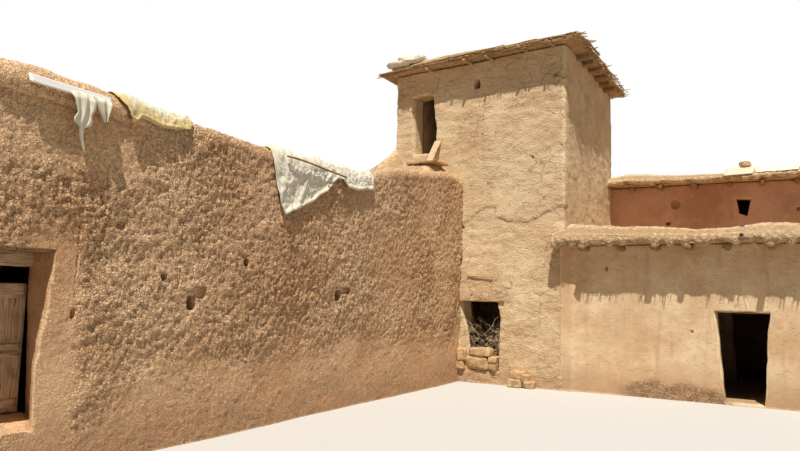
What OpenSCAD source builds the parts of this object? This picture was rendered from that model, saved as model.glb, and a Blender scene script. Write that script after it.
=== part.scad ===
// Adobe house: a west wing, a tower and a low front room with a taller block behind.
// X runs to the right along the court front, Y runs away from the court, Z is up.
// The origin is at ground level under the middle of the tower.

/* [West wing] */
// Width of the west wing over both long walls
wing_w = 4200; // [3600:50:5000]
// Length of the west wing, from the tower to its south end
wing_l = 13000; // [12600:50:15000]
// Thickness of the west wing's walls
wing_wall_t = 500; // [440:10:600]
// Height of the ledge that carries the west roof's logs
wing_ledge_h = 3400; // [3100:20:3600]
// Height of the west parapets above the ledge
parapet_h = 650; // [560:10:900]
// Climb of the court parapet beside the tower
wing_climb_h = 800; // [400:10:950]
// Length of that climb
wing_climb_l = 4000; // [2400:50:4200]
// Thickness of the west parapets
parapet_t = 280; // [220:10:320]
// Diameter of the west roof's logs
wing_log_d = 170; // [130:5:190]
// Distance from one west roof log to the next
wing_log_step = 850; // [700:10:1100]
// Level of the west room's floor
wing_floor_h = 520; // [400:10:560]

/* [West door] */
// Distance from the tower to the near jamb of the west door
door_off = 10150; // [9000:50:10400]
// Width of the west doorway
door_w = 1250; // [1000:10:1400]
// Height of the doorway's head at the court face
door_head_h = 2250; // [2150:10:2400]
// Depth of the board that spans the doorway
lintel_t = 80; // [60:5:120]
// Drop of the inner head timber below the court side's head
head_drop = 140; // [100:5:180]
// Width of the head timber and the threshold board
frame_w = 140; // [120:5:180]
// Thickness of the threshold board
threshold_t = 40; // [30:5:60]
// Thickness of the door's planks
plank_t = 35; // [25:1:45]
// Number of planks across the door
plank_n = 4; // [3:1:6]
// Gap between two planks
plank_gap = 4; // [2:1:8]
// Thickness of the door's rails
rail_t = 25; // [18:1:30]
// Height of the board along the door's top edge
top_board_h = 160; // [100:5:220]
// Height of the narrow battens
batten_h = 60; // [40:5:90]
// Gap above the door leaf
leaf_gap_h = 180; // [120:10:260]
// Side of the square pivot post
post_w = 70; // [60:2:80]
// Diameter of the pivot post's pins
pin_d = 40; // [30:1:50]

/* [Tower] */
// Width of the tower
tower_w = 4350; // [3900:50:4800]
// Depth of the tower
tower_l = 4700; // [4500:50:5200]
// Distance from the wing's court face to the tower's left side
tower_left = 1850; // [1600:50:2100]
// Height of the tower's side walls above the ledge of the upper floor, at the tower's middle
tower_upper_h = 2730; // [2560:10:2900]
// Fall of the tower's top from right to left
tower_fall = 200; // [0:10:400]
// Rise of the tower's top from front to back
tower_rise = 50; // [0:10:300]
// Thickness of the tower's walls in the lower storey
tower_wall_t = 600; // [540:10:700]
// Thickness of the tower's side walls above the upper floor
tower_upper_t = 420; // [360:10:480]
// Thickness of the tower's front and back walls
tower_front_t = 500; // [440:10:600]
// Radius of the tower's rounded corners
tower_corner_r = 180; // [100:10:260]
// Level of the tower's lower floor
tower_floor_h = 280; // [200:10:340]
// Height of the ledge that carries the upper floor's logs
tower_ledge_h = 4700; // [4400:20:4760]
// Distance from the wing's court face to the tower's doorway
tower_door_x = 70; // [60:10:200]
// Width of the tower's doorway
tower_door_w = 940; // [800:10:1100]
// Height of the tower's doorway head
tower_door_h = 1810; // [1750:10:1950]
// Left edge of the roof doorway, left of the wing's court face
slot_left = 1280; // [1150:10:1330]
// Width of the roof doorway
slot_w = 620; // [500:10:700]
// Foot of the roof doorway above the ledge of the upper floor
slot_foot_up = 700; // [600:10:760]
// Height of the roof doorway
slot_h = 1500; // [1300:10:1600]
// Splay of the roof doorway's left side
slot_splay = 110; // [0:10:160]
// Width of the smoke hole
smoke_w = 160; // [100:10:200]
// Height of the smoke hole
smoke_h = 260; // [180:10:320]

/* [Front room] */
// Length of the front room, from the tower to its far end
front_l = 6900; // [6700:50:7600]
// Set-back of the front room's face behind the tower's face
front_set = 100; // [60:10:200]
// Distance from the taller block's face to the tower's back
mid_lap = 100; // [60:10:200]
// Thickness of the front room's walls
front_wall_t = 450; // [400:10:560]
// Height of the lower storey's walls to the underside of the logs
storey_h = 2950; // [2800:20:3050]
// Diameter of the front roof's logs
front_log_d = 150; // [120:5:170]
// Distance from one front roof log to the next
front_log_step = 680; // [600:10:800]
// Distance from the tower to the first front roof log
front_log_first = 480; // [400:10:560]
// Overhang of the front roof past the wall
eave_l = 450; // [300:10:520]
// Thickness of the front roof's earth
front_earth_t = 180; // [140:10:240]
// Height of the lip along the front roof's edge
lip_h = 60; // [30:5:120]
// Level of the front room's floor
front_floor_h = 40; // [30:5:80]
// Distance from the tower to the front doorway
front_door_x = 2950; // [2700:50:3200]
// Width of the front doorway at its head
front_door_w = 900; // [800:10:1000]
// Narrowing of the front doorway on each side towards its foot
front_door_in = 80; // [0:10:120]
// Height of the front doorway
front_door_h = 1740; // [1680:10:1850]
// Outer diameter of the roof spout
spout_d = 90; // [70:5:110]
// Wall of the roof spout
spout_t = 6; // [4:1:10]
// Length of the roof spout
spout_l = 700; // [500:20:800]

/* [Rear block] */
// Depth of the rear block, from its front face to its back
rear_l = 3600; // [3300:50:4400]
// Thickness of the rear block's upper walls
rear_wall_t = 450; // [400:10:560]
// Width of the shoulder that carries logs on the lower walls
shoulder_w = 120; // [100:5:160]
// Height of the rear block's upper storey, to the underside of its roof logs
rear_upper_h = 1950; // [1800:10:2300]
// Diameter of the rear roof's logs
rear_log_d = 140; // [110:5:160]
// Distance from one rear roof log to the next
rear_log_step = 790; // [700:10:950]
// Distance from the tower to the first rear roof log
rear_log_first = 580; // [560:10:640]
// Overhang of the rear roof past the wall
rear_eave_l = 300; // [200:10:400]
// Thickness of the rear roof's earth
rear_earth_t = 120; // [90:10:160]
// Distance from the tower to the upper window
window_x = 3060; // [2800:20:3300]
// Width of the upper window
window_w = 380; // [300:10:480]
// Height of the upper window
window_h = 420; // [340:10:520]
// Sill of the upper window above the lower storey's walls
window_foot_up = 1230; // [1000:10:1320]

/* [Roofs and floors] */
// Thickness of the cane mats under the earth roofs
mat_t = 35; // [25:1:45]
// Thickness of the upper floors' earth
floor_earth_t = 110; // [80:5:140]
// Diameter of the tower roof's logs
tower_log_d = 140; // [110:5:160]
// Distance from one tower roof log to the next
tower_log_step = 580; // [500:10:700]
// Length of a tower roof log past the right wall
tower_log_out = 420; // [300:10:520]
// Thickness of the tower roof's earth
tower_earth_t = 200; // [80:5:260]
// Overhang of the tower roof in front and behind
tower_eave_l = 350; // [250:10:450]
// Overhang of the tower roof at its sides
tower_side_eave = 330; // [250:10:450]
// Diameter of the poles along the tower roof's edges
edge_pole_d = 60; // [40:5:80]
// Thickness of the doorway lintels
board_t = 45; // [35:5:60]
// Bearing of a lintel in the wall at each end
bearing = 150; // [100:10:200]
// Radius of the free wall corners
corner_r = 140; // [80:10:200]
// Height of the rounded crown on the parapets
crown_h = 150; // [80:10:200]

/* [Loose things] */
// Thickness of the stone step before the roof doorway
step_t = 90; // [60:5:120]
// Height of one course of the stones in the tower's doorway
stone_h = 230; // [180:10:240]
// Thickness of the boards and sheets that lie on the roofs
sheet_t = 40; // [25:1:60]

/* [Hidden] */
$fn = 32;

// Colours of the finishes
mud_wall = "#C9A074";
mud_shade = "#B5855B";
mud_roof = "#BE9468";
log_wood = "#9A7B55";
old_wood = "#6E5438";
cane = "#B89A6A";
stone_grey = "#A08A72";
cloth_cream = "#EDE3C4";
plastic_yellow = "#E6CF86";
white_board = "#F4F2EC";
pipe_grey = "#8F8A84";

// Clearances, and the overrun of a cut past the face that it opens
fit = 0.3;
pin_clear = 0.3;
swing_clear = 10;
over = 50;
log_clear = 1;

// West wing's planes
wing_x = -wing_w;
wing_y = -wing_l;
wing_in_x = wing_x + wing_wall_t;
court_in_x = -wing_wall_t;
roof_x0 = wing_x + parapet_t;
roof_x1 = -parapet_t;
wing_in_y = wing_y + wing_wall_t;
wing_earth_t = 190;
wing_top_h = wing_ledge_h + parapet_h;
wing_peak_h = wing_top_h + wing_climb_h;
wing_mat_z = wing_ledge_h + wing_log_d + fit;
wing_earth_z = wing_mat_z + mat_t;
wing_roof_z = wing_earth_z + wing_earth_t;

// West door's places
door_y1 = -door_off;
door_y0 = door_y1 - door_w;
head_z = door_head_h - head_drop;
over_door_z = door_head_h + lintel_t;
head_x1 = court_in_x + frame_w / 2;
head_x0 = head_x1 - frame_w - post_w / 2;
threshold_z = wing_floor_h + threshold_t;
hinge_x = court_in_x - post_w / sqrt(2) - swing_clear;
hinge_y = door_y0 - post_w / 4;
leaf_lap = plank_t;
leaf_y0 = hinge_y + post_w / 2;
leaf_y1 = door_y1 + leaf_lap;
leaf_z0 = threshold_z + swing_clear;
leaf_z1 = head_z - leaf_gap_h;
leaf_h = leaf_z1 - leaf_z0;
post_z0 = threshold_z + fit;
post_z1 = head_z - swing_clear;
rail_x0 = hinge_x + plank_t / 2;
rail_end = plank_t;
rail_share = 0.42;
pin_share = 0.85;

// Tower's planes
tower_x0 = -tower_left;
tower_x1 = tower_x0 + tower_w;
tower_y1 = tower_l;
tower_cx = (tower_x0 + tower_x1) / 2;
tower_h = tower_ledge_h + tower_upper_h;
slot_foot_h = tower_ledge_h + slot_foot_up;
tower_cy = tower_l / 2;
tower_in_x0 = tower_x0 + tower_wall_t;
tower_in_x1 = tower_x1 - tower_wall_t;
tower_up_x0 = tower_x0 + tower_upper_t;
tower_up_x1 = tower_x1 - tower_upper_t;
tower_back_y = tower_y1 - tower_front_t;
door_x0 = tower_door_x;
door_x1 = tower_door_x + tower_door_w;
slot_x0 = -slot_left;
slot_x1 = slot_x0 + slot_w;
smoke_x = tower_cx - smoke_w / 4;
smoke_z = tower_h - smoke_h * 2.2;
side_tilt = atan(tower_fall / tower_w);
back_tilt = atan(tower_rise / tower_l);
floor_log_d = 150;
floor_log_step = 640;
tower_mat_z = tower_log_d + fit;

// Bank of earth that climbs to the roof doorway
bank_x0 = tower_x0 - tower_wall_t * 1.4;
bank_top = slot_foot_h - step_t * 2.5;
bank_l = 2600;

// Front room's and rear block's planes
rear_h = storey_h + rear_upper_h;
window_foot_h = storey_h + window_foot_up;
front_x0 = tower_x1;
front_x1 = front_x0 + front_l;
front_y0 = front_set;
front_in_y = front_y0 + front_wall_t;
front_in_x = front_x1 - front_wall_t;
front_mat_z = storey_h + front_log_d + fit;
front_earth_z = front_mat_z + mat_t;
front_top = front_earth_z + front_earth_t;
fdoor_x0 = front_x0 + front_door_x;
fdoor_x1 = fdoor_x0 + front_door_w;
mid_y0 = tower_l - mid_lap;
mid_y1 = mid_y0 + rear_wall_t;
base_y0 = mid_y0 - shoulder_w;
base_y1 = mid_y1 + shoulder_w;
rear_y1 = mid_y0 + rear_l;
rear_in_y = rear_y1 - rear_wall_t;
rear_base_y = rear_in_y - shoulder_w;
rear_in_x = front_x0 + rear_wall_t;
rear_mat_z = rear_h + rear_log_d + fit;
rear_earth_z = rear_mat_z + mat_t;
rear_top = rear_earth_z + rear_earth_t;
end_eave = rear_eave_l * 3 / 4;
window_x0 = front_x0 + window_x;
window_z1 = window_foot_h + window_h;
board_x = window_x0 - window_w * 0.4;
board_l = window_w * 2;
niche_d = 220;
niche_deep = 70;

// Distances from the tower to the near ends of the things on the court parapet, and their lengths
strip_at = 9650;
strip_l = 1000;
rag_at = 9900;
rag_l = 180;
rag_drop = 420;
yellow_at = 8370;
yellow_l = 1220;
cream_at = 4020;
cream_l = 2800;

// A number from -1 to 1 that follows no plain rule, for the i-th of a row of like pieces
function uneven(i, seed) = sin(i * 97.3 + seed * 41.7);
// A smooth change from 0 to 1
function ease(t) = (1 - cos(180 * min(1, max(0, t)))) / 2;
// The points of an arc round c, from angle a0 to a1 in n steps
function arc(c, rx, ry, a0, a1, n) =
    [for (k = [0 : n]) let (a = a0 + (a1 - a0) * k / n) [c[0] + rx * cos(a), c[1] + ry * sin(a)]];

module place() {
    translate([-tower_cx, -tower_cy, 0]) children();
}

module block(x0, x1, y0, y1, z0, z1) {
    translate([x0, y0, z0]) cube([x1 - x0, y1 - y0, z1 - z0]);
}

// An outline in (y, z), carried along X
module along_x(x0, x1) {
    translate([x0, 0, 0]) rotate([90, 0, 90]) linear_extrude(x1 - x0) children();
}

// An outline in (x, z), carried along Y
module along_y(y0, y1) {
    translate([0, y1, 0]) rotate([90, 0, 0]) linear_extrude(y1 - y0) children();
}

module log_x(x0, x1, y, z, d) {
    translate([x0, y, z]) rotate([0, 90, 0]) cylinder(h = x1 - x0, d = d);
}

module log_y(y0, y1, x, z, d) {
    translate([x, y0, z]) rotate([-90, 0, 0]) cylinder(h = y1 - y0, d = d);
}

// A closed solid through a list of rings that have equally many points each.
// Each ring runs anticlockwise as seen from the first ring's side.
module loft(rings) {
    n = len(rings[0]);
    m = len(rings);
    polyhedron(
        points = [for (r = rings) each r],
        faces = concat(
            [[for (k = [0 : n - 1]) k]],
            [[for (k = [n - 1 : -1 : 0]) (m - 1) * n + k]],
            [for (i = [0 : m - 2], k = [0 : n - 1])
                each [[i * n + k, (i + 1) * n + k, i * n + (k + 1) % n],
                      [i * n + (k + 1) % n, (i + 1) * n + k, (i + 1) * n + (k + 1) % n]]]
        ),
        convexity = 4
    );
}

// The plan of a block with its corners rounded where the list holds a 1:
// front left, front right, back right, back left
module round_plan(x0, x1, y0, y1, r, corners) {
    cx = [x0 + r, x1 - r, x1 - r, x0 + r];
    cy = [y0 + r, y0 + r, y1 - r, y1 - r];
    sx = [x0, x1, x1, x0];
    sy = [y0, y0, y1, y1];
    difference() {
        translate([x0, y0]) square([x1 - x0, y1 - y0]);
        for (k = [0 : 3]) if (corners[k] == 1)
            translate([min(cx[k], sx[k]), min(cy[k], sy[k])]) square([r, r]);
    }
    for (k = [0 : 3]) if (corners[k] == 1) intersection() {
        translate([cx[k], cy[k]]) circle(r = r);
        translate([min(cx[k], sx[k]), min(cy[k], sy[k])]) square([r, r]);
    }
}

// A parapet's outline in (across, z), with a round crown
function parapet_outline(a0, a1, z0, z1) = concat(
    [[a0, z0], [a1, z0]],
    arc([(a0 + a1) / 2, z1 - crown_h], (a1 - a0) / 2, crown_h, 0, 180, 10)
);

// West wing

module west_court_wall() {
    color(mud_wall) place() difference() {
        union() {
            linear_extrude(wing_ledge_h)
                round_plan(court_in_x, 0, wing_y, door_y0, corner_r, [0, 1, 0, 0]);
            block(court_in_x, 0, door_y1, 0, 0, wing_ledge_h);
        }
        door_timber_space();
    }
}

// The space that the doorway's lintel and head timber take in the walls
module door_timber_space() {
    block(head_x1, 0, door_y0 - bearing, door_y1 + bearing, door_head_h, over_door_z);
    block(court_in_x - over, head_x1, door_y0 - bearing, door_y1 + bearing, head_z, over_door_z);
}

module west_over_door() {
    color(mud_wall) place() block(court_in_x, 0, door_y0, door_y1, over_door_z, wing_ledge_h);
}

// Height of the court parapet at a distance from the tower
function court_top(d) = let (peak_d = wing_climb_l / 4, foot_h = wing_top_h + crown_h * 2)
    d < peak_d
        ? foot_h + (wing_peak_h - foot_h) * ease(d / peak_d)
        : wing_top_h + (wing_peak_h - wing_top_h) * ease((wing_climb_l - d) / (wing_climb_l - peak_d));

module west_court_parapet() {
    near_n = 20;
    dist = concat([for (k = [0 : near_n]) wing_climb_l * k / near_n], [wing_l]);
    color(mud_wall) place() loft([for (d = dist)
        [for (p = parapet_outline(-parapet_t, 0, wing_ledge_h, court_top(d))) [p[0], -d, p[1]]]]);
}

module west_outer_wall() {
    color(mud_wall) place() along_y(wing_y, 0) polygon(concat(
        [[wing_x, 0], [wing_in_x, 0], [wing_in_x, wing_ledge_h], [roof_x0, wing_ledge_h]],
        arc([wing_x + parapet_t / 2, wing_top_h - crown_h], parapet_t / 2, crown_h, 0, 180, 10)));
}

module west_south_wall() {
    color(mud_wall) place() {
        block(wing_in_x, court_in_x, wing_y, wing_in_y, 0, wing_ledge_h);
        along_x(roof_x0, roof_x1)
            polygon(parapet_outline(wing_y, wing_y + parapet_t, wing_ledge_h, wing_top_h));
    }
}

module west_north_wall() {
    color(mud_wall) place() {
        block(wing_in_x, court_in_x, -wing_wall_t, 0, 0, wing_ledge_h);
        along_x(roof_x0, bank_x0)
            polygon(parapet_outline(-parapet_t, 0, wing_ledge_h, wing_top_h));
    }
}

module west_door_sill() {
    color(mud_wall) place() along_y(door_y0, door_y1) polygon([
        [court_in_x, 0], [0, 0], [0, wing_floor_h - threshold_t * 1.5],
        [head_x1, threshold_z], [court_in_x, threshold_z]
    ]);
}

module pin_bore(z0, z1) {
    translate([hinge_x, hinge_y, z0]) cylinder(h = z1 - z0, d = pin_d + pin_clear * 2);
}

module west_door_frame() {
    color(old_wood) place() {
        difference() {
            block(head_x0, head_x1, door_y0 - bearing, door_y1 + bearing, head_z, over_door_z);
            pin_bore(head_z - over, head_z + pin_d * 2);
        }
        difference() {
            block(head_x0, court_in_x, door_y0 - bearing, door_y1 + bearing / 2,
                wing_floor_h, threshold_z);
            pin_bore(wing_floor_h - over, threshold_z + over);
        }
    }
}

module west_door_planks() {
    w = (leaf_y1 - leaf_y0 - plank_gap * (plank_n - 1)) / plank_n;
    color(old_wood) place() for (i = [0 : plank_n - 1]) {
        y = leaf_y0 + i * (w + plank_gap);
        block(hinge_x - plank_t / 2, rail_x0, y, y + w, leaf_z0, leaf_z1);
    }
}

module west_door_rails() {
    mid_z = leaf_z0 + leaf_h * rail_share;
    lows = [leaf_z1 - top_board_h, mid_z + batten_h * 1.5, mid_z, leaf_z0 + batten_h];
    highs = [leaf_z1, mid_z + batten_h * 2.5, mid_z + batten_h, leaf_z0 + batten_h * 2.5];
    color(old_wood) place() for (k = [0 : 3])
        block(rail_x0, rail_x0 + rail_t, leaf_y0 + rail_end, leaf_y1 - rail_end, lows[k], highs[k]);
}

module west_door_post() {
    color(old_wood) place() {
        block(hinge_x - post_w / 2, hinge_x + post_w / 2, hinge_y - post_w / 2,
            hinge_y + post_w / 2, post_z0, post_z1);
        translate([hinge_x, hinge_y, post_z0 - threshold_t * pin_share])
            cylinder(h = threshold_t * pin_share, d = pin_d);
        translate([hinge_x, hinge_y, post_z1])
            cylinder(h = pin_d + swing_clear, d = pin_d);
    }
}

module west_roof_logs() {
    first = parapet_t + wing_log_d;
    n = floor((wing_l - parapet_t * 2 - wing_log_d * 2) / wing_log_step);
    color(log_wood) place() for (i = [0 : n]) {
        d = wing_log_d * (1 - 0.1 * abs(uneven(i, 1)));
        log_x(roof_x0, roof_x1, -first - i * wing_log_step, wing_ledge_h + d / 2 + fit, d);
    }
}

module wing_roof_plan() {
    polygon([[roof_x0, wing_y + parapet_t], [roof_x1, wing_y + parapet_t], [roof_x1, 0],
        [bank_x0, 0], [bank_x0, -parapet_t], [roof_x0, -parapet_t]]);
}

module west_roof_earth() {
    color(mud_roof) place() translate([0, 0, wing_earth_z]) linear_extrude(wing_earth_t)
        wing_roof_plan();
}

module roof_bank() {
    n = 10;
    color(mud_roof) place() intersection() {
        along_x(bank_x0, roof_x1) polygon(concat(
            [for (k = [0 : n]) [-bank_l + bank_l * 0.75 * k / n,
                wing_roof_z + (bank_top - wing_roof_z) * ease(k / n)]],
            [[0, bank_top], [0, wing_roof_z]]));
        along_y(-bank_l - over, 0) polygon(concat(
            [[roof_x1, wing_roof_z], [roof_x1, bank_top]],
            [for (k = [n : -1 : 0]) [bank_x0 + tower_wall_t * k / n,
                wing_roof_z + (bank_top - wing_roof_z) * ease(k / n)]]));
    }
}

module roof_step() {
    color(stone_grey) place() block(slot_x0 - step_t, slot_x1 + step_t, -slot_w * 0.7, 0,
        bank_top, bank_top + step_t);
}

// Tower

module tower_plan() {
    round_plan(tower_x0, tower_x1, 0, tower_y1, tower_corner_r, [1, 1, 0, 1]);
}

module on_tower_top() {
    translate([tower_cx, tower_cy, tower_h]) rotate([back_tilt, -side_tilt, 0]) children();
}

// All that lies above the tilted plane at height up over the side walls' tops
module above_tower_top(up) {
    reach = tower_w + tower_l;
    on_tower_top() translate([-reach, -reach, up]) cube([reach * 2, reach * 2, tower_h * 2]);
}

tower_log_n = floor((tower_l - tower_front_t * 2 - tower_log_d * 2) / tower_log_step);
function tower_log_y(i) = (i - tower_log_n / 2) * tower_log_step
    + uneven(i, 3) * tower_log_d * 0.3;
function tower_log_size(i) = tower_log_d * (1 - 0.12 * abs(uneven(i, 2)));

module tower_log_grooves() {
    on_tower_top() for (i = [0 : tower_log_n]) {
        d = tower_log_size(i) + log_clear * 2;
        translate([-tower_w, tower_log_y(i) - d / 2, 0]) cube([tower_w * 2, d, tower_log_d * 2]);
    }
}

module tower_piece() {
    difference() {
        intersection() {
            linear_extrude(tower_h * 2) tower_plan();
            children();
        }
        above_tower_top(tower_mat_z);
        tower_log_grooves();
    }
}

module tower_side(x0, x1, up_x) {
    along_y(0, tower_y1) polygon([
        [x0, 0], [x1, 0], [x1, tower_ledge_h], [up_x, tower_ledge_h],
        [up_x, tower_h * 2], [x0, tower_h * 2]
    ]);
}

module tower_left_wall() {
    color(mud_wall) place() tower_piece() tower_side(tower_x0, tower_in_x0, tower_up_x0);
}

module tower_right_wall() {
    color(mud_wall) place() tower_piece() tower_side(tower_x1, tower_in_x1, tower_up_x1);
}

module tower_cross_wall(z0) {
    polygon([
        [tower_in_x0, z0], [tower_in_x1, z0], [tower_in_x1, tower_ledge_h],
        [tower_up_x1, tower_ledge_h], [tower_up_x1, tower_h * 2], [tower_up_x0, tower_h * 2],
        [tower_up_x0, tower_ledge_h], [tower_in_x0, tower_ledge_h]
    ]);
}

module tower_back_wall() {
    color(mud_wall) place() difference() {
        along_y(tower_back_y, tower_y1) tower_cross_wall(0);
        above_tower_top(tower_mat_z);
    }
}

module tower_front_piers() {
    color(mud_wall) place() {
        block(tower_in_x0, door_x0, 0, tower_front_t, 0, tower_door_h);
        block(door_x1, tower_in_x1, 0, tower_front_t, 0, tower_door_h);
    }
}

module tower_front_wall() {
    color(mud_wall) place() difference() {
        along_y(0, tower_front_t) tower_cross_wall(tower_door_h);
        above_tower_top(tower_mat_z);
        tower_lintel();
        translate([0, 0, slot_foot_h]) linear_extrude(slot_h) polygon([
            [slot_x0 - slot_splay, -over], [slot_x1, -over],
            [slot_x1, tower_front_t + over], [slot_x0, tower_front_t + over],
            [slot_x0, tower_front_t], [slot_x0 - slot_splay, 0]
        ]);
        block(smoke_x, smoke_x + smoke_w, -over, tower_front_t + over, smoke_z, smoke_z + smoke_h);
    }
}

module tower_roof_logs() {
    color(log_wood) place() on_tower_top() for (i = [0 : tower_log_n]) {
        d = tower_log_size(i);
        log_x(-tower_w / 2 - tower_log_out * 0.3, tower_w / 2 + tower_log_out * (0.8 + 0.2 * uneven(i, 5)),
            tower_log_y(i), d / 2 + fit, d);
    }
}

// A slab of roof earth with a rounded rim, lying from z0 up
module earth_slab(x0, x1, y0, y1, z0, t) {
    r = t / 2;
    function ring(inset, z) = [
        [x0 + inset, y0 + inset, z], [x0 + inset, y1 - inset, z],
        [x1 - inset, y1 - inset, z], [x1 - inset, y0 + inset, z]];
    loft(concat([ring(r * 0.6, z0)],
        [for (k = [0 : 4]) let (a = -30 + 30 * k) ring(r * (1 - cos(a)), z0 + r + r * sin(a))]));
}

module tower_roof_earth() {
    color(mud_roof) place() on_tower_top() earth_slab(
        -tower_w / 2 - tower_side_eave, tower_w / 2 + tower_side_eave,
        -tower_l / 2 - tower_eave_l, tower_l / 2 + tower_eave_l * 0.7,
        tower_mat_z + mat_t, tower_earth_t);
}

module tower_edge_poles() {
    z = tower_mat_z + edge_pole_d / 2;
    front_y = -tower_l / 2 - tower_eave_l - edge_pole_d / 2;
    side_x = tower_w / 2 + tower_side_eave + edge_pole_d / 2;
    color(log_wood) place() on_tower_top() {
        log_x(-tower_w * 0.45, tower_w / 2 + tower_side_eave, front_y, z, edge_pole_d);
        log_y(-tower_l * 0.42, tower_l / 2 + tower_eave_l * 0.7, side_x, z, edge_pole_d);
    }
}

// Front room

front_log_n = floor((front_l - front_wall_t - front_log_first - front_log_d) / front_log_step);
function front_log_x(i) = front_x0 + front_log_first + i * front_log_step
    + uneven(i, 7) * front_log_d * 0.3;
function front_log_size(i) = front_log_d * (1 - 0.15 * abs(uneven(i, 8)));

module front_log_grooves() {
    for (i = [0 : front_log_n]) {
        d = front_log_size(i) + log_clear * 2;
        block(front_log_x(i) - d / 2, front_log_x(i) + d / 2, -eave_l, mid_y0, storey_h,
            front_mat_z + over);
    }
}

module front_doorway() {
    along_y(front_y0 - over, front_in_y + over) polygon([
        [fdoor_x0 + front_door_in, -over], [fdoor_x1 - front_door_in, -over],
        [fdoor_x1, front_door_h], [fdoor_x0, front_door_h]
    ]);
}

module front_wall() {
    color(mud_shade) place() difference() {
        union() {
            block(front_x0, fdoor_x0, front_y0, front_in_y, 0, front_mat_z);
            linear_extrude(front_mat_z)
                round_plan(fdoor_x1, front_x1, front_y0, front_in_y, corner_r, [0, 1, 0, 0]);
            block(fdoor_x0, fdoor_x0 + front_door_in, front_y0, front_in_y, 0, front_door_h);
            block(fdoor_x1 - front_door_in, fdoor_x1, front_y0, front_in_y, 0, front_door_h);
        }
        linear_extrude(tower_h) tower_plan();
        front_doorway();
        front_log_grooves();
        front_lintel();
    }
}

module front_over_door() {
    color(mud_shade) place() difference() {
        block(fdoor_x0, fdoor_x1, front_y0, front_in_y, front_door_h, front_mat_z);
        front_log_grooves();
        front_lintel();
    }
}

module front_end_wall() {
    color(mud_shade) place() block(front_in_x, front_x1, front_in_y, base_y0, 0, front_mat_z);
}

module front_roof_logs() {
    color(log_wood) place() for (i = [0 : front_log_n]) {
        d = front_log_size(i);
        log_y(front_y0 - eave_l * (0.85 + 0.12 * uneven(i, 9)), mid_y0 - fit, front_log_x(i),
            storey_h + d / 2 + fit, d);
    }
}

// The height of an earth roof's lip at its i-th station, out of lip_n
lip_n = 24;
function lip_height(i, lip, seed) = lip * (1 + 0.5 * uneven(i, seed)) * (i == 0 ? 1.6 : 1);

// An earth roof whose front edge has a raised, rounded and uneven lip.
// It runs from x0 to x1, from the front edge y0 to the back y1, and up from z0.
module lipped_roof(x0, x1, y0, y1, z0, t, lip, seed) {
    n = lip_n;
    function lip_at(i) = lip_height(i, lip, seed);
    function edge_at(i) = y0 + lip * 0.6 * (1 + uneven(i, seed + 2));
    function outline(i) = let (e = edge_at(i), h = t + lip_at(i)) concat(
        [[y1, z0], [y1, z0 + t], [e + t * 3, z0 + t]],
        [for (k = [0 : 4]) let (a = 45 + 45 * k)
            [e + t * 0.75 + t * 0.75 * cos(a), z0 + h * 0.55 + h * 0.45 * sin(a)]],
        [[e + t * 0.4, z0]]);
    loft([for (i = [0 : n]) [for (p = outline(i)) [x0 + (x1 - x0) * i / n, p[0], p[1]]]]);
}

module front_roof_earth() {
    color(mud_roof) place() difference() {
        lipped_roof(front_x0 - corner_r, front_x1 + end_eave, front_y0 - eave_l, mid_y0,
            front_earth_z, front_earth_t, lip_h, 11);
        linear_extrude(tower_h) tower_plan();
        spout_tube(spout_d + fit * 2);
        // The gully that leads rain from the roof to the spout
        block(spout_x - spout_d / 2, spout_x + spout_d / 2, spout_y1, spout_y1 + spout_d * 2,
            spout_z - spout_d / 2, front_top + lip_h * 2);
    }
}

spout_x = front_log_x(4) + front_log_step * 0.4;
spout_z = front_earth_z + spout_d * 0.75;
spout_y0 = front_y0 - eave_l - spout_l * 0.15;
spout_y1 = spout_y0 + spout_l;

module spout_tube(d) {
    log_y(spout_y0, spout_y1, spout_x, spout_z, d);
}

module roof_spout() {
    color(pipe_grey) place() difference() {
        spout_tube(spout_d);
        translate([0, -over, 0]) spout_tube(spout_d - spout_t * 2);
        translate([0, over, 0]) spout_tube(spout_d - spout_t * 2);
    }
}

// Rear block

rear_log_n = floor((front_l - rear_wall_t - rear_log_first - rear_log_d) / rear_log_step);
function rear_log_x(i) = front_x0 + rear_log_first + i * rear_log_step
    + uneven(i, 13) * rear_log_d * 0.3;
function rear_log_size(i) = rear_log_d * (1 - 0.15 * abs(uneven(i, 14)));

module rear_log_grooves() {
    y0 = mid_y0 - rear_eave_l;
    y1 = rear_y1 + rear_eave_l;
    for (i = [0 : rear_log_n]) {
        d = rear_log_size(i) + log_clear * 2;
        block(rear_log_x(i) - d / 2, rear_log_x(i) + d / 2, y0, y1, rear_h, rear_mat_z + over);
    }
}

module mid_wall_base() {
    color(mud_shade) place() difference() {
        union() {
            block(front_x0, fdoor_x0, base_y0, base_y1, 0, storey_h);
            block(fdoor_x1, front_in_x, base_y0, base_y1, 0, storey_h);
        }
        mid_lintel();
    }
}

module mid_wall_upper() {
    mid_x = (rear_in_x + window_x0) / 2;
    color(mud_shade) place() difference() {
        union() {
            block(fdoor_x0, fdoor_x1, base_y0, base_y1, front_door_h, storey_h);
            block(front_x0, front_in_x, mid_y0, mid_y1, storey_h, rear_mat_z);
        }
        mid_lintel();
        rear_log_grooves();
        along_y(mid_y0 - over, mid_y1 + over) polygon([
            [window_x0 + window_w * 0.1, window_foot_h], [window_x0 + window_w, window_foot_h],
            [window_x0 + window_w * 0.9, window_z1], [window_x0, window_z1]
        ]);
        log_y(mid_y0 - over, mid_y0 + niche_deep, mid_x, window_foot_h + window_h * 0.6, niche_d);
    }
}

module rear_west_wall() {
    color(mud_shade) place() along_x(front_x0, rear_in_x) polygon([
        [base_y1, 0], [rear_y1, 0], [rear_y1, rear_mat_z], [mid_y1, rear_mat_z],
        [mid_y1, storey_h], [base_y1, storey_h]
    ]);
}

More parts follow.
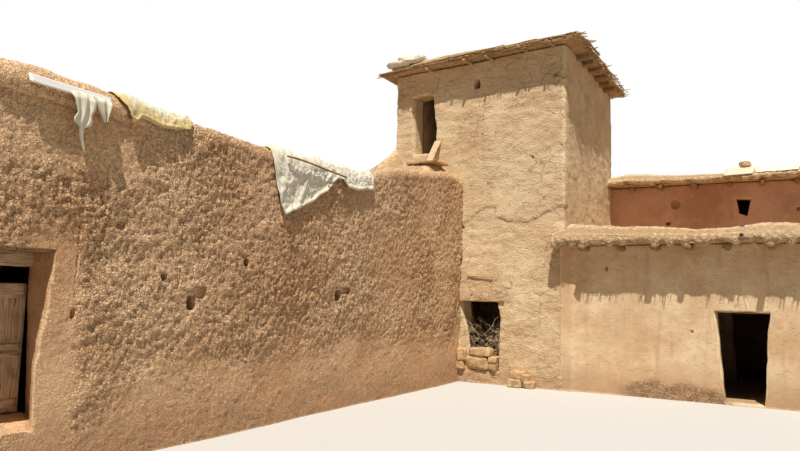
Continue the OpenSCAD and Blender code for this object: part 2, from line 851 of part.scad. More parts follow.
module rear_end_wall() {
    color(mud_shade) place() along_x(front_in_x, front_x1) polygon([
        [base_y0, 0], [rear_y1, 0], [rear_y1, rear_mat_z], [mid_y0, rear_mat_z],
        [mid_y0, storey_h], [base_y0, storey_h]
    ]);
}

module rear_back_wall() {
    color(mud_shade) place() difference() {
        along_x(rear_in_x, front_in_x) polygon([
            [rear_base_y, 0], [rear_y1, 0], [rear_y1, rear_mat_z], [rear_in_y, rear_mat_z],
            [rear_in_y, storey_h], [rear_base_y, storey_h]
        ]);
        rear_log_grooves();
    }
}

module rear_roof_logs() {
    color(log_wood) place() for (i = [0 : rear_log_n]) {
        d = rear_log_size(i);
        log_y(mid_y0 - rear_eave_l * (0.8 + 0.15 * uneven(i, 15)), rear_y1 + rear_eave_l * 0.7,
            rear_log_x(i), rear_h + d / 2 + fit, d);
    }
}

module rear_roof_earth() {
    color(mud_roof) place() lipped_roof(front_x0, front_x1 + end_eave, mid_y0 - rear_eave_l,
        rear_y1 + rear_eave_l * 0.6, rear_earth_z, rear_earth_t, rear_lip_h, rear_lip_seed);
}

rear_lip_h = lip_h * 0.6;
rear_lip_seed = 17;
// The level at which a flat thing from xa to xb rests on the rear roof's lip
function rear_seat(xa, xb) = let (
    step = (front_x1 + end_eave - front_x0) / lip_n,
    ia = (xa - front_x0) / step,
    ib = (xb - front_x0) / step,
    ends = [for (t = [ia, ib]) let (k = floor(t))
        lip_height(k, rear_lip_h, rear_lip_seed) * (k + 1 - t)
        + lip_height(k + 1, rear_lip_h, rear_lip_seed) * (t - k)],
    between = [for (k = [ceil(ia) : floor(ib)]) lip_height(k, rear_lip_h, rear_lip_seed)])
    rear_top + max(concat(ends, between)) + fit;

// Floors and the pieces that all roofs share

module floor_logs() {
    tower_n = floor((tower_l - tower_front_t * 2 - floor_log_d) / floor_log_step);
    rear_n = floor((front_l - rear_wall_t * 2 - floor_log_d) / floor_log_step);
    color(log_wood) place() {
        for (i = [0 : tower_n]) log_x(tower_up_x0, tower_up_x1,
            tower_front_t + floor_log_d + i * floor_log_step, tower_ledge_h + floor_log_d / 2 + fit,
            floor_log_d);
        for (i = [0 : rear_n]) log_y(mid_y1, rear_in_y, rear_in_x + floor_log_d + i * floor_log_step,
            storey_h + floor_log_d / 2 + fit, floor_log_d);
    }
}

// The upper floors' earth, from z0 above the ledge, t thick
module upper_floor_slabs(up, t) {
    block(tower_up_x0, tower_up_x1, tower_front_t, tower_back_y, tower_ledge_h + up,
        tower_ledge_h + up + t);
    block(rear_in_x, front_in_x, mid_y1, rear_in_y, storey_h + up, storey_h + up + t);
}

module upper_floors() {
    color(mud_roof) place() upper_floor_slabs(floor_log_d + fit + mat_t, floor_earth_t);
}

module earth_floors() {
    color(mud_roof) place() {
        block(wing_in_x, court_in_x, wing_in_y, -wing_wall_t, 0, wing_floor_h);
        block(tower_in_x0, tower_in_x1, tower_front_t, tower_back_y, 0, tower_floor_h);
        block(door_x0, door_x1, 0, tower_front_t, 0, tower_floor_h);
        block(front_x0, front_in_x, front_in_y, base_y0, 0, front_floor_h);
        block(rear_in_x, front_in_x, base_y1, rear_base_y, 0, front_floor_h);
    }
}

module cane_mats() {
    color(cane) place() {
        translate([0, 0, wing_mat_z]) linear_extrude(mat_t) wing_roof_plan();
        on_tower_top() translate([-tower_w / 2 - tower_side_eave, -tower_l / 2 - tower_eave_l,
            tower_mat_z]) cube([tower_w + tower_side_eave * 2, tower_l + tower_eave_l * 1.7, mat_t]);
        difference() {
            block(front_x0 - corner_r / 2, front_x1 + end_eave * 0.8,
                front_y0 - eave_l * 0.92, mid_y0, front_mat_z, front_earth_z);
            linear_extrude(tower_h) tower_plan();
        }
        block(front_x0, front_x1 + end_eave * 0.8, mid_y0 - rear_eave_l * 0.9,
            rear_y1 + rear_eave_l * 0.6, rear_mat_z, rear_earth_z);
        upper_floor_slabs(floor_log_d + fit, mat_t);
    }
}

module tower_lintel() {
    block(door_x0 - bearing, door_x1 + bearing, 0, tower_front_t, tower_door_h,
        tower_door_h + board_t);
}

module front_lintel() {
    block(fdoor_x0 - bearing, fdoor_x1 + bearing, front_y0, front_in_y, front_door_h,
        front_door_h + board_t);
}

module mid_lintel() {
    block(fdoor_x0 - bearing, fdoor_x1 + bearing, base_y0, base_y1, front_door_h,
        front_door_h + board_t);
}

module door_lintels() {
    color(old_wood) place() {
        block(head_x1, 0, door_y0 - bearing, door_y1 + bearing, door_head_h, over_door_z);
        tower_lintel();
        front_lintel();
        mid_lintel();
    }
}

// A rough stone that stands on z0, with its sides bulging at mid height
module stone(x, y, z0, w, l, h, i) {
    steps = [[0, 0.78], [0.25, 1], [0.7, 0.96], [1, 0.72]];
    function reach(k) = 1 - 0.12 * abs(uneven(k, i));
    loft([for (s = steps) [for (k = [7 : -1 : 0]) let (a = 22.5 + 45 * k)
        [x + w / 2 * s[1] * cos(a) * reach(k), y + l / 2 * s[1] * sin(a) * reach(k),
            z0 + h * s[0]]]]);
}

module door_stones() {
    row_n = [3, 2, 2];
    color(stone_grey) place() {
        for (r = [0 : 2], i = [0 : row_n[r] - 1]) let (w = tower_door_w / (row_n[r] + r * 0.25))
            stone(door_x0 + (i + 0.5) * w + r * stone_h * 0.3, tower_front_t * 0.4,
                tower_floor_h + r * stone_h, w * 0.96, tower_front_t * 0.7, stone_h, r * 3 + i);
        difference() {
            union() {
                for (i = [0, 1])
                    stone(door_x1 + stone_h * (1.4 + i * 1.3), -stone_h * 0.55, 0, stone_h * 1.25,
                        stone_h * 1.3, stone_h * 1.15, 20 + i);
                stone(door_x1 + stone_h * 2.1, -stone_h * 0.55, stone_h * 1.15, stone_h * 1.4,
                    stone_h * 1.2, stone_h, 23);
            }
            block(door_x1, tower_x1, 0, stone_h, -over, stone_h * 3);
        }
    }
}

// Things that lie on the wall tops and roofs

// A flat sheet laid over the court parapet's round crown, s to e from the tower
module crown_sheet(s, e, thick) {
    z = wing_top_h;
    along_y(-e, -s) difference() {
        polygon(concat(arc([-parapet_t / 2, z - crown_h], parapet_t / 2 + thick,
            crown_h + thick, 20, 160, 8)));
        polygon(concat(arc([-parapet_t / 2, z - crown_h], parapet_t / 2 + fit, crown_h + fit,
            0, 360, 40)));
    }
}

module white_strip() {
    color(white_board) place() crown_sheet(strip_at, strip_at + strip_l, sheet_t * 0.6);
}

module hanging_rag() {
    color(cloth_cream) place()
        block(fit, sheet_t * 1.5, -rag_at - rag_l, -rag_at,
        wing_top_h - crown_h - rag_drop, wing_top_h - crown_h);
}

module yellow_sheet() {
    color(plastic_yellow) place() crown_sheet(yellow_at, yellow_at + yellow_l, sheet_t * 1.5);
}

module cream_sheet() {
    color(cloth_cream) place() crown_sheet(cream_at, cream_at + cream_l, sheet_t);
}

module roof_sacks() {
    color(cloth_cream) place() on_tower_top() for (k = [0, 1])
        translate([-tower_w * 0.36 + k * tower_w * 0.14, -tower_l * 0.46,
            tower_mat_z + mat_t + tower_earth_t + fit])
            stone(0, 0, 0, tower_w * 0.13, tower_w * 0.1, sheet_t * 3, 30 + k);
}

module roof_board() {
    z = rear_seat(board_x, board_x + board_l);
    color(white_board) place() block(board_x, board_x + board_l, mid_y0 - rear_eave_l * 0.85,
        mid_y0 + window_w, z, z + sheet_t);
}

module roof_stone() {
    color(stone_grey) place() stone(board_x + board_l * 0.6, mid_y0,
        rear_seat(board_x, board_x + board_l) + sheet_t, board_l * 0.3, board_l * 0.26,
        board_l * 0.2, 40);
}

module roof_cloth() {
    x = board_x + board_l + sheet_t;
    z = rear_seat(x, x + board_l * 1.5);
    color(cloth_cream) place() block(x, x + board_l * 1.5, mid_y0 - rear_eave_l * 0.85,
        mid_y0 + window_w, z, z + sheet_t);
}

west_court_wall();
west_over_door();
west_court_parapet();
west_outer_wall();
west_south_wall();
west_north_wall();
west_door_sill();
west_door_frame();
west_door_planks();
west_door_rails();
west_door_post();
west_roof_logs();
west_roof_earth();
roof_bank();
roof_step();
tower_front_piers();
tower_front_wall();
tower_right_wall();
tower_back_wall();
tower_left_wall();
tower_roof_logs();
tower_roof_earth();
tower_edge_poles();
front_wall();
front_over_door();
front_end_wall();
front_roof_logs();
front_roof_earth();
roof_spout();
mid_wall_base();
mid_wall_upper();
rear_west_wall();
rear_end_wall();
rear_back_wall();
rear_roof_logs();
rear_roof_earth();
floor_logs();
upper_floors();
earth_floors();
cane_mats();
door_lintels();
door_stones();
white_strip();
hanging_rag();
yellow_sheet();
cream_sheet();
roof_sacks();
roof_board();
roof_stone();
roof_cloth();
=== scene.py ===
"""Adobe house: the finishes of a mud-walled house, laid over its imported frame.

All points are worked out from the inner corner of the court, where the west wing's
court face meets the tower's front, at ground level: X runs to the right along the
court front, Y away from the court and Z up. CORNER moves them to the frame's place.
"""
import math

import bpy
import numpy as np
from mathutils import Matrix, Vector


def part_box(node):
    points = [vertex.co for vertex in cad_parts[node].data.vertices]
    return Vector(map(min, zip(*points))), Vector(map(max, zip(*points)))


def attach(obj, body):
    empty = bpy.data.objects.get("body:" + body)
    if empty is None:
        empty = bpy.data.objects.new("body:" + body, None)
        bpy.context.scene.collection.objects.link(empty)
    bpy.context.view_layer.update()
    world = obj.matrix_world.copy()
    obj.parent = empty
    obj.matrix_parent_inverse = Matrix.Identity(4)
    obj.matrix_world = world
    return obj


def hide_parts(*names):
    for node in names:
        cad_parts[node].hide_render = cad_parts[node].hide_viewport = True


bl_info = {
    "name": "Adobe house",
    "version": (1, 0, 0),
    "blender": (4, 5, 0),
    "location": "3D View > Sidebar > Adobe house",
    "description": "Mud plaster, roof earth, canes, logs and cloth of an adobe house",
    "category": "Object",
}

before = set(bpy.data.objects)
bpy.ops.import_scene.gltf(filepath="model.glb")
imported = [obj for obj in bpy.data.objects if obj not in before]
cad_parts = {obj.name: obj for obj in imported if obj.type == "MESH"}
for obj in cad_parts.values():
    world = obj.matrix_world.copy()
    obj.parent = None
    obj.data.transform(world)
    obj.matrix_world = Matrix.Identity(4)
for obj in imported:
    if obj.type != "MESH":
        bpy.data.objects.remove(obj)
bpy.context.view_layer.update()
CORNER = np.array([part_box("west_court_wall")[1].x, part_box("tower_front_wall")[0].y, 0.0])

# Main sizes of the frame, in metres from the court's inner corner
WING_X, WING_Y = -4.2, -13.0
WING_TOP, WING_PEAK, LEDGE = 4.05, 4.85, 3.4
PARAPET_T, WALL_T, CROWN = 0.28, 0.5, 0.15
TOWER_X0, TOWER_X1, TOWER_Y1 = -1.85, 2.5, 4.7
TOWER_CX, TOWER_CY, TOWER_H = 0.325, 2.35, 7.43
TILT_X, TILT_Y = 0.2 / 4.35, 0.05 / 4.7
TOWER_MAT = 0.1403
FRONT_X1, FRONT_Y0, STOREY, FRONT_MAT = 9.4, 0.1, 2.95, 3.1003
MID_Y0, REAR_Y1, REAR_H, REAR_MAT = 4.6, 8.2, 4.9, 5.0403
MAT_T = 0.035


# Shapes


def uneven(i, seed):
    """A number from -1 to 1 for the i-th of a row: the sine of 97.3 i + 41.7 seed degrees."""
    return np.sin(np.radians(np.asarray(i) * 97.3 + seed * 41.7))


def ease(t):
    """A smooth change from 0 to 1: half of one less the cosine."""
    return (1 - np.cos(np.pi * np.clip(t, 0, 1))) / 2


def hashed(cells, seed):
    """A number from 0 to 1 for each whole-number cell (..., 3), mixed from its bits."""
    h = (cells[..., 0] * 73856093) ^ (cells[..., 1] * 19349663) ^ (cells[..., 2] * 83492791)
    h = (h ^ (seed * 2654435761)) & 0xFFFFFFFF
    h = ((h ^ (h >> 15)) * 2246822519) & 0xFFFFFFFF
    h = ((h ^ (h >> 13)) * 3266489917) & 0xFFFFFFFF
    return ((h ^ (h >> 16)) & 0xFFFFFF) / float(0xFFFFFF)


def swell(p, size, seed):
    """Smooth noise from -1 to 1: random values at the corners of cells of that size,
    blended along each axis by 6t^5 - 15t^4 + 10t^3."""
    q = np.asarray(p, float) / size
    cell = np.floor(q).astype(np.int64)
    t = q - cell
    t = t * t * t * (t * (t * 6 - 15) + 10)
    total = np.zeros(q.shape[:-1])
    for dx in (0, 1):
        for dy in (0, 1):
            for dz in (0, 1):
                share = (np.abs(1 - dx - t[..., 0]) * np.abs(1 - dy - t[..., 1])
                         * np.abs(1 - dz - t[..., 2]))
                total += share * hashed(cell + np.array([dx, dy, dz]), seed)
    return total * 2 - 1


def octaves(p, size, height, seed, count=4, gain=0.55):
    """Sum of swells, each of half the size and gain times the height of the one before."""
    total = np.zeros(np.asarray(p).shape[:-1])
    for k in range(count):
        total += height * gain ** k * swell(p, size / 2 ** k, seed + k)
    return total


def clods(p, size, seed):
    """Rounded lumps from 0 to 1: one less the squared distance, in cells, to the nearest
    of the random points that each lie in a cell of that size."""
    q = np.asarray(p, float) / size
    cell = np.floor(q).astype(np.int64)
    nearest = np.full(q.shape[:-1], 9.0)
    for dx in (-1, 0, 1):
        for dy in (-1, 0, 1):
            for dz in (-1, 0, 1):
                c = cell + np.array([dx, dy, dz])
                gap = np.zeros(q.shape[:-1])
                for axis in range(3):
                    gap += (c[..., axis] + hashed(c, seed + axis) - q[..., axis]) ** 2
                nearest = np.minimum(nearest, gap)
    return np.clip(1 - nearest * 1.6, 0, 1)


def band(value, low, high, soft):
    """1 between low and high, easing to 0 over the soft width outside them."""
    return ease((value - low) / soft + 1) * ease((high - value) / soft + 1)


def grid_faces(n, m, wrap_n=False, wrap_m=False):
    """Corner numbers of the four-sided faces of an n by m grid, closed where it wraps."""
    i, j = np.meshgrid(np.arange(n if wrap_n else n - 1), np.arange(m if wrap_m else m - 1),
                       indexing="ij")
    i1, j1 = (i + 1) % n, (j + 1) % m
    return np.stack([i * m + j, i1 * m + j, i1 * m + j1, i * m + j1], -1).reshape(-1, 4)


def new_mesh(name, points, quads, tris=(), caps=()):
    """A mesh object of points given from the court's corner, with faces turned outwards:
    where six times the volume, the sum of each face's triple product, is negative, all
    faces are reversed. caps are lists of corner numbers of many-sided faces."""
    points = np.asarray(points, float).reshape(-1, 3) + CORNER
    quads = np.asarray(quads, np.int64).reshape(-1, 4)
    tris = np.asarray(tris, np.int64).reshape(-1, 3)
    parts = [np.concatenate([quads[:, [0, 1, 2]], quads[:, [0, 2, 3]], tris])]
    for cap in caps:
        cap = np.asarray(cap)
        parts.append(np.stack([np.full(len(cap) - 2, cap[0]), cap[1:-1], cap[2:]], -1))
    fan = np.concatenate(parts)
    middle = points.mean(0)
    a, b, c = (points[fan[:, k]] - middle for k in range(3))
    if np.einsum("ij,ij->i", a, np.cross(b, c)).sum() < 0:
        quads, tris = quads[:, ::-1], tris[:, ::-1]
        caps = [np.asarray(cap)[::-1] for cap in caps]
    corners = np.concatenate([quads.ravel(), tris.ravel()] + [np.asarray(c) for c in caps])
    sizes = np.concatenate([np.full(len(quads), 4), np.full(len(tris), 3),
                            np.array([len(c) for c in caps], int)]).astype(np.int64)
    starts = np.concatenate([[0], np.cumsum(sizes)[:-1]])
    mesh = bpy.data.meshes.new(name)
    mesh.vertices.add(len(points))
    mesh.vertices.foreach_set("co", points.astype(np.float32).ravel())
    mesh.loops.add(len(corners))
    mesh.loops.foreach_set("vertex_index", corners.astype(np.int32))
    mesh.polygons.add(len(starts))
    mesh.polygons.foreach_set("loop_start", starts.astype(np.int32))
    mesh.update(calc_edges=True)
    mesh.validate()
    piece = bpy.data.objects.new(name, mesh)
    bpy.context.scene.collection.objects.link(piece)
    return piece


def dress(piece, finish, slot, *nodes, body="house", smooth=True):
    """Gives a piece its material and its body and hides the frame's nodes it stands for; the slot is not used."""
    piece.data.materials.clear()
    piece.data.materials.append(bpy.data.materials[finish])
    piece.data.polygons.foreach_set("use_smooth", np.full(len(piece.data.polygons), smooth))
    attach(piece, body)
    if nodes:
        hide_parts(*nodes)
    return piece


def mark_hollows(piece):
    """Stores how deep each point lies below the mean of its neighbours, along its normal,
    in millimetres: the finish paints shade into hollows and a highlight onto crests with it."""
    mesh = piece.data
    count = len(mesh.vertices)
    co = np.zeros(count * 3, np.float32)
    mesh.vertices.foreach_get("co", co)
    co = co.reshape(-1, 3).astype(float)
    normal = np.zeros(count * 3, np.float32)
    mesh.vertex_normals.foreach_get("vector", normal)
    normal = normal.reshape(-1, 3)
    edge = np.zeros(len(mesh.edges) * 2, np.int32)
    mesh.edges.foreach_get("vertices", edge)
    a, b = edge.reshape(-1, 2).T
    depth = np.zeros(count)
    for _ in range(2):
        total, degree = np.zeros((count, 3)), np.zeros(count)
        for x, y in ((a, b), (b, a)):
            for axis in range(3):
                total[:, axis] += np.bincount(x, co[y, axis], count)
            degree += np.bincount(x, minlength=count)
        mean = total / np.maximum(degree, 1)[:, None]
        depth += np.einsum("ij,ij->i", mean - co, normal) * 1000
        co = mean
    field = mesh.attributes.new("hollow", "FLOAT", "POINT")
    field.data.foreach_set("value", np.clip(depth, -30, 30).astype(np.float32))


def mark_rough(piece, share):
    """Stores share(points) at each point: how crumbly its mud is, from 0 to 1."""
    co = np.zeros(len(piece.data.vertices) * 3, np.float32)
    piece.data.vertices.foreach_get("co", co)
    field = piece.data.attributes.new("rough", "FLOAT", "POINT")
    field.data.foreach_set("value", share(co.reshape(-1, 3) - CORNER).astype(np.float32))


def cut(piece, *cutters):
    """Cuts closed shapes out of a closed piece, and removes them."""
    for cutter in cutters:
        change = piece.modifiers.new("opening", "BOOLEAN")
        change.operation, change.object, change.solver = "DIFFERENCE", cutter, "MANIFOLD"
        graph = bpy.context.evaluated_depsgraph_get()
        made = bpy.data.meshes.new_from_object(piece.evaluated_get(graph))
        piece.modifiers.clear()
        old, piece.data = piece.data, made
        bpy.data.meshes.remove(old)
        shape = cutter.data
        bpy.data.objects.remove(cutter)
        bpy.data.meshes.remove(shape)
    if len(piece.data.polygons) < 10:
        raise RuntimeError(piece.name + " was lost while its openings were cut")


def tower_top(x, y):
    """Height of the tilted plane that the tower's roof logs rest on."""
    return TOWER_H + (x - TOWER_CX) * TILT_X + (y - TOWER_CY) * TILT_Y


def wall_run(name, legs, relief, top, thick, upper, ledge, crown, row, closed=False, round_off=0):
    """A wall that follows its outer plan line: a closed profile carried along a path.
    legs are (x, y, step) corners with the sampling step of the leg that follows them.
    The profile climbs the outer face, goes over a round crown of the upper part's
    thickness, down to the ledge, out to the full thickness, down, and back under.
    Each point then moves along its normal by relief(points)."""
    corner = np.array([leg[:2] for leg in legs], float)
    count = len(legs) if closed else len(legs) - 1
    ahead = np.roll(corner, -1, 0) - corner
    ahead = ahead / np.maximum(np.linalg.norm(ahead, axis=1), 1e-9)[:, None]
    out = np.stack([ahead[:, 1], -ahead[:, 0]], -1)
    inner = corner.copy()
    for k in range(len(legs)):
        before = out[k - 1] if closed or k > 0 else out[k]
        after = out[k] if closed or k < count else out[k - 1]
        inner[k] -= thick * (before + after) / (1 + before @ after)
    outer_line, inner_line = [], []
    for k in range(count):
        k1 = (k + 1) % len(legs)
        n = max(2, int(round(np.linalg.norm(corner[k1] - corner[k]) / legs[k][2])))
        u = (np.arange(n) / n)[:, None]
        outer_line.append(corner[k] * (1 - u) + corner[k1] * u)
        inner_line.append(inner[k] * (1 - u) + inner[k1] * u)
    if not closed:
        outer_line.append(corner[-1:])
        inner_line.append(inner[-1:])
    a, b = np.concatenate(outer_line), np.concatenate(inner_line)
    for _ in range(round_off):
        mean = (np.roll(a, 1, 0) + 2 * a + np.roll(a, -1, 0)) / 4
        if not closed:
            mean[0], mean[-1] = a[0], a[-1]
        a = mean
    along = np.roll(a, -1, 0) - np.roll(a, 1, 0)
    if not closed:
        along[0], along[-1] = a[1] - a[0], a[-1] - a[-2]
    along /= np.linalg.norm(along, axis=1)[:, None]
    outward = np.stack([along[:, 1], -along[:, 0]], -1)

    height = float(np.median(top(a[:, 0], a[:, 1])))
    rise = np.insert(np.linspace(0, 1, int(height / row) + 1), 1, 0.0008)
    turn = np.linspace(0, np.pi, 13)[1:]
    sink = np.linspace(0, 1, 7)[1:]
    low = np.linspace(ledge, 0, 12)
    back = np.linspace(1, 0, 5)[1:-1]
    share = upper / thick
    offset = np.concatenate([0 * rise, share / 2 * (1 - np.cos(turn)), share + 0 * sink,
                             1 + 0 * low, back])
    of_top = np.concatenate([rise, 1 + 0 * turn, 1 - sink, 0 * low, 0 * back])
    add = np.concatenate([-crown * rise, crown * (np.sin(turn) - 1),
                          -crown * (1 - sink) + ledge * sink, low, 0 * back])
    face_out = np.concatenate([1 + 0 * rise, np.cos(turn), -1 + 0 * sink, 0 * low, 0 * back])
    face_up = np.concatenate([0 * rise, np.sin(turn), 0 * sink, 0 * low, 0 * back])

    n, m = len(a), len(offset)
    plan = a[:, None] * (1 - offset[:, None]) + b[:, None] * offset[:, None]
    points = np.zeros((n, m, 3))
    points[..., :2] = plan
    points[..., 2] = of_top * top(plan[..., 0], plan[..., 1]) + add
    normal = np.zeros((n, m, 3))
    normal[..., :2] = outward[:, None] * face_out[:, None]
    normal[..., 2] = face_up
    points += normal * relief(points)[..., None]
    quads = grid_faces(n, m, wrap_n=closed, wrap_m=True)
    caps = [] if closed else [np.arange(m), np.arange(m)[::-1] + (n - 1) * m]
    return new_mesh(name, points, quads, caps=caps)


def tunnel(outlines, depths, along_x, rough, seed):
    """A closed cutter for an opening: outlines (sections, n, 2) across the wall, each at
    its depth through the wall, moved by noise of the rough height."""
    outlines = np.asarray(outlines, float)
    s, n = outlines.shape[:2]
    points = np.zeros((s, n, 3))
    deep = np.broadcast_to(np.asarray(depths, float)[:, None], (s, n))
    if along_x:
        points[..., 0], points[..., 1], points[..., 2] = deep, outlines[..., 0], outlines[..., 1]
    else:
        points[..., 0], points[..., 1], points[..., 2] = outlines[..., 0], deep, outlines[..., 1]
    for axis in ((1, 2) if along_x else (0, 2)):
        points[..., axis] += octaves(points, 0.3, rough, seed + axis * 7, 3)
    return new_mesh("cutter", points, grid_faces(s, n, wrap_m=True),
                    caps=[np.arange(n), np.arange(n)[::-1] + (s - 1) * n])


def outlines(rows, step):
    """Points at about equal steps round closed lines through rows of corners (rows, corners,
    2), with the same number of points on a side in every row."""
    rows = np.asarray(rows, float)
    after = np.roll(rows, -1, 1)
    counts = np.maximum(1, np.round(np.linalg.norm(after - rows, axis=2).max(0) / step)).astype(int)
    line = []
    for k, n in enumerate(counts):
        u = (np.arange(n) / n)[:, None]
        line.append(rows[:, k, None] * (1 - u) + after[:, k, None] * u)
    return np.concatenate(line, 1)


def boulder_points(centre, size, seed, power=0.75, n=22, m=14, rough=0.06):
    """A rough stone: a globe of n by m points whose sines and cosines are raised to a
    power below 1, which squares it off, and then moved in and out by noise."""
    around, up = np.meshgrid(np.arange(n) / n * 2 * np.pi,
                             np.linspace(-np.pi / 2, np.pi / 2, m), indexing="ij")

    def squared(v):
        return np.sign(v) * np.abs(v) ** power

    unit = np.stack([squared(np.cos(up)) * squared(np.cos(around)),
                     squared(np.cos(up)) * squared(np.sin(around)), squared(np.sin(up))], -1)
    half = np.asarray(size, float) / 2
    points = unit * half
    spin = np.asarray(centre, float) * 3.7 + seed
    points *= 1 + octaves(points + spin, float(half.max()), rough * 2, seed, 3)[..., None]
    return points + np.asarray(centre, float)


def boulders(name, places, power=0.6, n=26, m=16, rough=0.07):
    """One mesh of rough stones, given as (centre, size, seed), each closed at its poles."""
    points, quads, tris, start = [], [], [], 0
    for centre, size, seed in places:
        p = boulder_points(centre, size, seed, power, n, m, rough)
        n, m = p.shape[:2]
        p[:, 0], p[:, -1] = p[:, 0].mean(0), p[:, -1].mean(0)
        core = p[:, 1:-1].reshape(-1, 3)
        points += [core, p[:1, 0], p[:1, -1]]
        quads.append(grid_faces(n, m - 2, wrap_n=True) + start)
        i = np.arange(n)
        i1 = (i + 1) % n
        south, north = start + n * (m - 2), start + n * (m - 2) + 1
        tris.append(np.stack([np.full(n, south), i1 * (m - 2) + start, i * (m - 2) + start], -1))
        tris.append(np.stack([np.full(n, north), i * (m - 2) + m - 3 + start,
                              i1 * (m - 2) + m - 3 + start], -1))
        start += n * (m - 2) + 2
    return new_mesh(name, np.concatenate(points), np.concatenate(quads), np.concatenate(tris))


def rods(paths, radii, sides):
    """Round rods along paths (count, stations, 3) with radii (count, stations): a circle
    carried square to each path, closed at both ends by a point. Returns points, quads, tris."""
    paths = np.asarray(paths, float)
    radii = np.asarray(radii, float)
    c, s = paths.shape[:2]
    ahead = np.gradient(paths, axis=1)
    ahead /= np.maximum(np.linalg.norm(ahead, axis=2, keepdims=True), 1e-9)
    whole = ahead.mean(1)
    guide = np.where(np.abs(whole[:, 2:3]) > 0.8, np.array([1.0, 0, 0]), np.array([0, 0, 1.0]))
    side = np.cross(ahead, guide[:, None])
    side /= np.maximum(np.linalg.norm(side, axis=2, keepdims=True), 1e-9)
    up = np.cross(side, ahead)
    turn = np.arange(sides) / sides * 2 * np.pi
    ring = (side[:, :, None] * np.cos(turn)[:, None] + up[:, :, None] * np.sin(turn)[:, None])
    points = paths[:, :, None] + ring * radii[:, :, None, None]
    per = s * sides + 2
    block = np.concatenate([points.reshape(c, -1, 3), paths[:, :1], paths[:, -1:]], 1)
    base = grid_faces(s, sides, wrap_m=True)
    shift = (np.arange(c) * per)[:, None, None]
    quads = (base[None] + shift).reshape(-1, 4)
    k = np.arange(sides)
    k1 = (k + 1) % sides
    start = np.stack([np.full(sides, s * sides), k, k1], -1)
    end = np.stack([np.full(sides, s * sides + 1), (s - 1) * sides + k1, (s - 1) * sides + k], -1)
    tris = (np.concatenate([start, end])[None] + shift).reshape(-1, 3)
    return block.reshape(-1, 3), quads, tris


def rod_mesh(name, groups):
    """One mesh of several groups of rods, each given as (paths, radii, sides)."""
    points, quads, tris, start = [], [], [], 0
    for paths, radii, sides in groups:
        p, q, t = rods(paths, radii, sides)
        points.append(p)
        quads.append(q + start)
        tris.append(t + start)
        start += len(p)
    return new_mesh(name, np.concatenate(points), np.concatenate(quads), np.concatenate(tris))


def straight_paths(starts, ends, stations, bend, seed):
    """Paths from starts to ends with a slow wander of the bend height, none at the start."""
    starts, ends = np.asarray(starts, float), np.asarray(ends, float)
    t = np.linspace(0, 1, stations)[None, :, None]
    line = starts[:, None] * (1 - t) + ends[:, None] * t
    drift = np.stack([swell(line + k * 31.0 + np.arange(len(starts))[:, None, None] * 0.37,
                            0.9, seed + k) for k in range(3)], -1)
    return line + drift * bend * np.sin(np.pi * np.clip(t, 0, 1)) ** 0.5


def slab(name, x, y, low, high, bulge, relief, rim_rows=5):
    """A layer of earth on a plan grid of the lines x and y: a top at high(x, y), a bottom
    at low(x, y), and a rim between them that swells outwards as a half sine. relief(points)
    lifts the top and pushes the rim out."""
    gx, gy = np.meshgrid(x, y, indexing="ij")
    n, m = gx.shape
    top = np.stack([gx, gy, high(gx, gy)], -1)
    bottom = np.stack([gx, gy, low(gx, gy)], -1)
    lift = relief(top)
    i0, j0 = np.arange(n), np.arange(m)
    ring = np.concatenate([i0 * m, (n - 1) * m + j0[1:], i0[::-1][1:] * m + m - 1, j0[::-1][1:-1]])
    middle = np.array([x.mean(), y.mean()])
    flat_top, flat_low = top.reshape(-1, 3), bottom.reshape(-1, 3)
    edge = flat_top[ring]
    away = np.roll(edge[:, :2], -1, 0) - np.roll(edge[:, :2], 1, 0)
    away = np.stack([away[:, 1], -away[:, 0]], -1)
    away /= np.maximum(np.linalg.norm(away, axis=1), 1e-9)[:, None]
    away *= np.sign(np.einsum("ij,ij->i", away, edge[:, :2] - middle))[:, None]
    flat_top[:, 2] += lift.ravel()
    rows = []
    for k in range(1, rim_rows + 1):
        t = k / (rim_rows + 1)
        p = flat_top[ring] * (1 - t) + flat_low[ring] * t
        push = bulge * math.sin(math.pi * t) + relief(p) * 1.2
        p[:, :2] += away * push[:, None]
        rows.append(p)
    points = np.concatenate([flat_top, flat_low] + rows)
    size, loop = n * m, len(ring)
    quads = [grid_faces(n, m), grid_faces(n, m)[:, ::-1] + size]
    levels = [ring] + [2 * size + k * loop + np.arange(loop) for k in range(rim_rows)]
    levels.append(ring + size)
    for upper, lower in zip(levels[:-1], levels[1:]):
        quads.append(np.stack([upper, lower, np.roll(lower, -1), np.roll(upper, -1)], -1))
    return new_mesh(name, points, np.concatenate(quads))


def graded(a, b, fine, coarse, reach):
    """Grid lines from a to b whose step grows from fine to coarse over that reach."""
    lines = [a]
    sign = 1 if b > a else -1
    while (b - lines[-1]) * sign > coarse * 1.5:
        gone = abs(lines[-1] - a)
        lines.append(lines[-1] + sign * (fine + (coarse - fine) * min(1, gone / reach)))
    return np.array(lines + [b])


